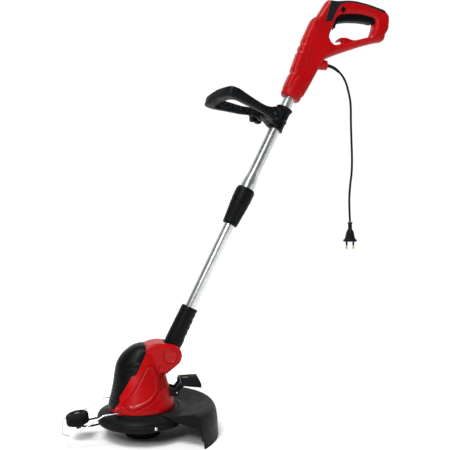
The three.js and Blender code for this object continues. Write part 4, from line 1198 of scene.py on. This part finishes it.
def make_loop():
    """A loop with a thick crossbar, narrow arms and a round hub on each side."""
    far = [(16, 36), (-30, 36), (-60, 46), (-129, 62), (-151, 57), (-156, 30)]
    near = [(-149, -30), (-143, -55), (-122, -60), (-60, -45), (-30, -36), (16, -36)]
    outer = far + near
    opening = [
        (24, 24.4), (-26, 24.4), (-60, 31), (-124, 45), (-134, 32), (-127, -32), (-118, -43), (-60, -30),
        (-26, -24.4), (24, -24.4),
    ]
    stations = (-155, -120, -70, -30, 0, 16)
    halves = (12, 12.4, 10.2, 9.8, 14.5, 15.5)
    edge = 5.2

    def bulge(points, gap):
        return np.interp(points[:, 0], stations, halves) - edge + quarter(gap, edge)

    def twist(points):
        x, y = points[:, 0], points[:, 1]
        dip = FAR_ARM_DIP * np.clip(y / 30, 0, 1) * np.clip((-15 - x) / 45, 0, 1)
        return -LOOP_TWIST * np.clip((-20 - x) / 125, 0, 1) * y - dip

    def top(points, gap):
        return twist(points) + bulge(points, gap)

    def bottom(points, gap):
        return twist(points) - bulge(points, gap)

    body = relief(rounded(outer, 16, 7), top, bottom, edge=edge, rings=5, spacing=3, at=LOOP)
    body = join(body, cross_pin(16.8, 0, 0, -36, 36, 2.0, 72, LOOP))
    opening = rounded(opening, 9, 6)
    hole = relief(opening, lambda p, gap: np.full(len(p), 40.0), edge=2, rings=1, spacing=6, at=LOOP)
    bolt_room = cross_pin(3.4, 0, 0, -60, 60, 0.1, 32, LOOP)
    return cut(body, hole, bolt_room, cross_pin(9, 0, 0, -45, -30, 0.5, 48, LOOP))


piece(make_loop(), "loop_shell", BLACK, "loop", "loop_handle")


def make_star_knob():
    """A six-lobed knob with a boss and a dimple, on the clamp bolt."""
    rim = []
    for k in range(96):
        angle = 2 * pi * k / 96
        radius = 21 + 2 * cos(6 * angle)
        rim.append((radius * cos(angle), radius * sin(angle)))
    at = LOOP @ move(0, 58.5, 0) @ turn(90, "X")
    star = relief(np.array(rim), round_edge(9.5, 3.5), edge=3.5, rings=4, spacing=2.2, at=at)
    boss = cross_pin(10.8, 0, 0, 36.4, 50, 0.8, 48, LOOP)
    dimple = cross_pin(11, 0, 0, 66.4, 75, 1.0, 48, LOOP)
    return cut(join(star, boss), dimple, cross_pin(3.2, 0, 0, 30, 57, 0.1, 32, LOOP))


piece(make_star_knob(), "star_knob_shell", BLACK, "star_knob", "clamp_knob")

# ---------------------------------------------------------------- D-handle

HANDLE_HALF = 20
HANDLE_EDGE = 12.5
HANDLE_FRONT = [
    (-27, 716), (-28, 758), (-25, 764), (-30, 771), (-31.5, 790), (-34.5, 817), (-31.4, 822),
    (-35.3, 828), (-36, 838), (-32.6, 843), (-36.8, 851), (-38, 914), (-29, 925), (-23, 977),
]
GRIP_TOP = [(-17, 980), (-1, 987), (27, 1006), (47, 1015.5), (78, 1025.5), (104, 1031.5)]
HANDLE_REAR = [(127, 1036.5), (146, 1029), (159, 997), (156, 981), (161, 963), (143, 950)]
HANDLE_UNDER = [(111, 920), (64, 870), (37, 839), (33, 800), (31, 760), (27.5, 716)]
FINGER = [
    (43, 881), (21.7, 893), (19.5, 917), (19, 949), (26, 960), (43, 973), (68, 987), (92, 996),
    (112, 1000), (120, 985), (122, 954), (107, 941),
]
SOFT_UNDER = [
    (-17, 980), (-6, 918), (9.5, 929), (7.8, 967), (11, 980), (22, 992), (40.5, 1003), (71.5, 1014),
    (109, 1021.5), (129.7, 1024), (128, 1036.3),
]
BUTTON = (21.5, 971)
TRIGGER = [
    (18, 921), (27.5, 923), (24.5, 932), (30, 943), (50, 958), (75, 972), (98, 982.5), (110, 986),
    (117, 995), (116, 1006), (106, 1006), (90, 999.5), (66, 989.5), (40, 975), (24, 962), (18.8, 950),
]
TRIGGER_PIN = (112, 1002)

handle_edge = rounded(HANDLE_FRONT + GRIP_TOP + HANDLE_REAR + HANDLE_UNDER, 9, 5)
finger_edge = rounded(FINGER, 9, 5)
IN_HANDLE = SHAFT @ SIDE
AT_CORD = move(0, 0, CORD_EXIT) @ turn(90, "Y")


def handle_height(points, extra=0.0):
    """Half the handle's thickness at each point: full and rounded, thinner in the lower bar."""
    gap = distance([handle_edge, finger_edge], points)
    bar_zone = np.clip((points[:, 0] - 40) / 30, 0, 1) * np.clip((975 - points[:, 1]) / 25, 0, 1)
    half = HANDLE_HALF - 3.5 * bar_zone
    return half - HANDLE_EDGE + quarter(gap, HANDLE_EDGE) + extra


def engraved(path, size):
    """A rod that follows the handle's surface on both sides, to cut a line in it."""
    line = spline(path, 10)
    lift = handle_height(line)
    sides = [[(x, y, sign * h) for (x, y), h in zip(line, lift)] for sign in (-1, 1)]
    return joined([sweep(side, size, 8, IN_HANDLE) for side in sides])


def make_handle():
    """The D-handle's body before it is split into its two shells."""
    sizes = {"edge": HANDLE_EDGE, "rings": 7, "spacing": 2.6}
    body = relief(handle_edge, lambda p, gap: handle_height(p), holes=[finger_edge], at=IN_HANDLE, **sizes)
    socket = [
        (0, 703), (22.6, 703), (24.5, 704), (26.3, 709), (26.5, 716), (26.3, 750), (24.5, 757), (20, 775),
        (0, 775),
    ]
    squash = SHAFT @ Matrix.Scale(0.88, 4, (0, 1, 0))
    join(body, lathe([socket[0], *rounded(socket, 1.2, 3)[4:-4], socket[-1]], 96, squash))
    hook = [
        (92, 926), (82, 920.5), (66, 918), (53, 911), (47, 904), (46.5, 897.5), (50, 898.5), (55, 904),
        (61, 905), (63.5, 901), (62, 893), (80, 905),
    ]
    join(body, relief(rounded(hook, 1.6, 4), round_edge(9, 1.6), edge=1.6, rings=3, spacing=2, at=IN_HANDLE))
    collar = cross_pin(9.6, *BUTTON, -HANDLE_HALF - 0.9, HANDLE_HALF + 0.9, 1.0, 56, SHAFT)
    return join(body, disc(12.5, 436, 471.5, 2.4, 64, AT_CORD), collar)


def trigger_turned(degrees):
    """The trigger's outline, a little larger, turned about its pin."""
    rel = grown(TRIGGER, 0.6) - TRIGGER_PIN
    c, s = cos(radians(degrees)), sin(radians(degrees))
    return [(TRIGGER_PIN[0] + x * c + z * s, TRIGGER_PIN[1] - x * s + z * c) for x, z in rel]


def carve_handle(body):
    """Cuts the places of the soft grip, trigger, button, tube and cord, and the two grip lines."""
    room = [
        (11.8, 915), (11.8, 952), (22, 964), (40, 979), (66, 994), (90, 1004), (118, 1010), (122, 996),
        (112, 985),
    ]
    outside = [(-40, 985), (-12, 1000), (30, 1030), (100, 1060), (131, 1055)]
    front_line = [(-32.6, 912), (-22, 868), (-8, 808), (-4.3, 792), (-9, 782), (-23, 774.7), (-30, 772.5)]
    tools = [
        side_prism([*SOFT_UNDER[:-1], (128.9, 1030), *reversed(outside), (-19, 982)], -60, 60, SHAFT),
        side_prism(room, -12.4, 12.4, SHAFT),
        *[side_prism(trigger_turned(angle), -12.4, 12.4, SHAFT) for angle in (0, 1.2, 2.4, 3.6)],
        cross_pin(6.9, *BUTTON, -60, 60, 0.1, 48, SHAFT),
        disc(14.15, 690, 765, 0.1, 72, SHAFT),
        disc(5.4, 425, 480, 0.1, 32, AT_CORD),
        engraved(front_line, 1.5),
        engraved([(-25, 922), (-20.7, 909.5), (-8, 855), (3.9, 803.4), (5, 790)], 1.3),
    ]
    return cut(body, *tools)


handle = carve_handle(make_handle())
for side, low, high in HALVES:
    block = prism([(300, low), (700, low), (700, high), (300, high)], 700, 1200)
    half = keep(twin(handle), block)
    piece(half, f"grip_shell_{side}", RED, "upper_shaft", f"handle_shell_{side}")
bpy.data.objects.remove(handle)


def make_soft_grip():
    """The soft back of the grip, slightly proud of the shells, with a groove round it."""
    region = rounded([*SOFT_UNDER, *reversed(GRIP_TOP[1:])], 3, 3)

    def top(points, gap):
        return handle_height(points, 0.5) - 0.8 * (1 - np.minimum(gap / 1.2, 1))

    return relief(region, top, edge=1.4, rings=2, spacing=2.2, at=IN_HANDLE)


piece(make_soft_grip(), "grip_pad", SOFT, "upper_shaft", "soft_grip")


def make_trigger():
    """The lever, with a slot that leaves the lock-off button room as it turns."""
    lever = relief(rounded(TRIGGER, 3, 4), round_edge(11.5, 4), edge=4, rings=4, spacing=2.2, at=IN_HANDLE)
    spots = [(BUTTON[0] + 1.9 * k, BUTTON[1] - 5.5 * k) for k in (0, 0.5, 1)]
    rooms = [cross_pin(7.2, x, z, -40, 40, 0.1, 48, SHAFT) for x, z in spots]
    return cut(lever, cross_pin(2.2, *TRIGGER_PIN, -20, 20, 0.1, 32, SHAFT), *rooms)


piece(make_trigger(), "trigger_lever_shell", BLACK, "trigger_lever", "trigger")
button = cross_pin(6.5, *BUTTON, -HANDLE_HALF - 4, HANDLE_HALF + 0.5, 1.6, 56, SHAFT)
piece(button, "lock_button", BLACK, "button", "lock_off_button")

# ---------------------------------------------------------------- what the frame keeps

KEPT_LOOKS = {
    STEEL: (
        "line_cutter pivot_bolt motor_shaft motor_stator lower_bearing upper_bearing motor_end_bracket "
        "line_eyelet_near line_eyelet_far pedal_pin pedal_spring trigger_pin"
    ),
    DARK_STEEL: "clamp_bolt wheel_bolt",
    COPPER: "armature",
    BRASS: "brush_holder_left brush_holder_right pedal_lock_plate",
    GREY: "lock_collet pedal_icon_plate power_switch terminal_block",
    BLACK: "line_reel cooling_fan",
    NYLON: "trimmer_line",
}
for look, names in KEPT_LOOKS.items():
    for name in names.split():
        node = frame["nodes"][name]
        node.data.materials.clear()
        node.data.materials.append(look)
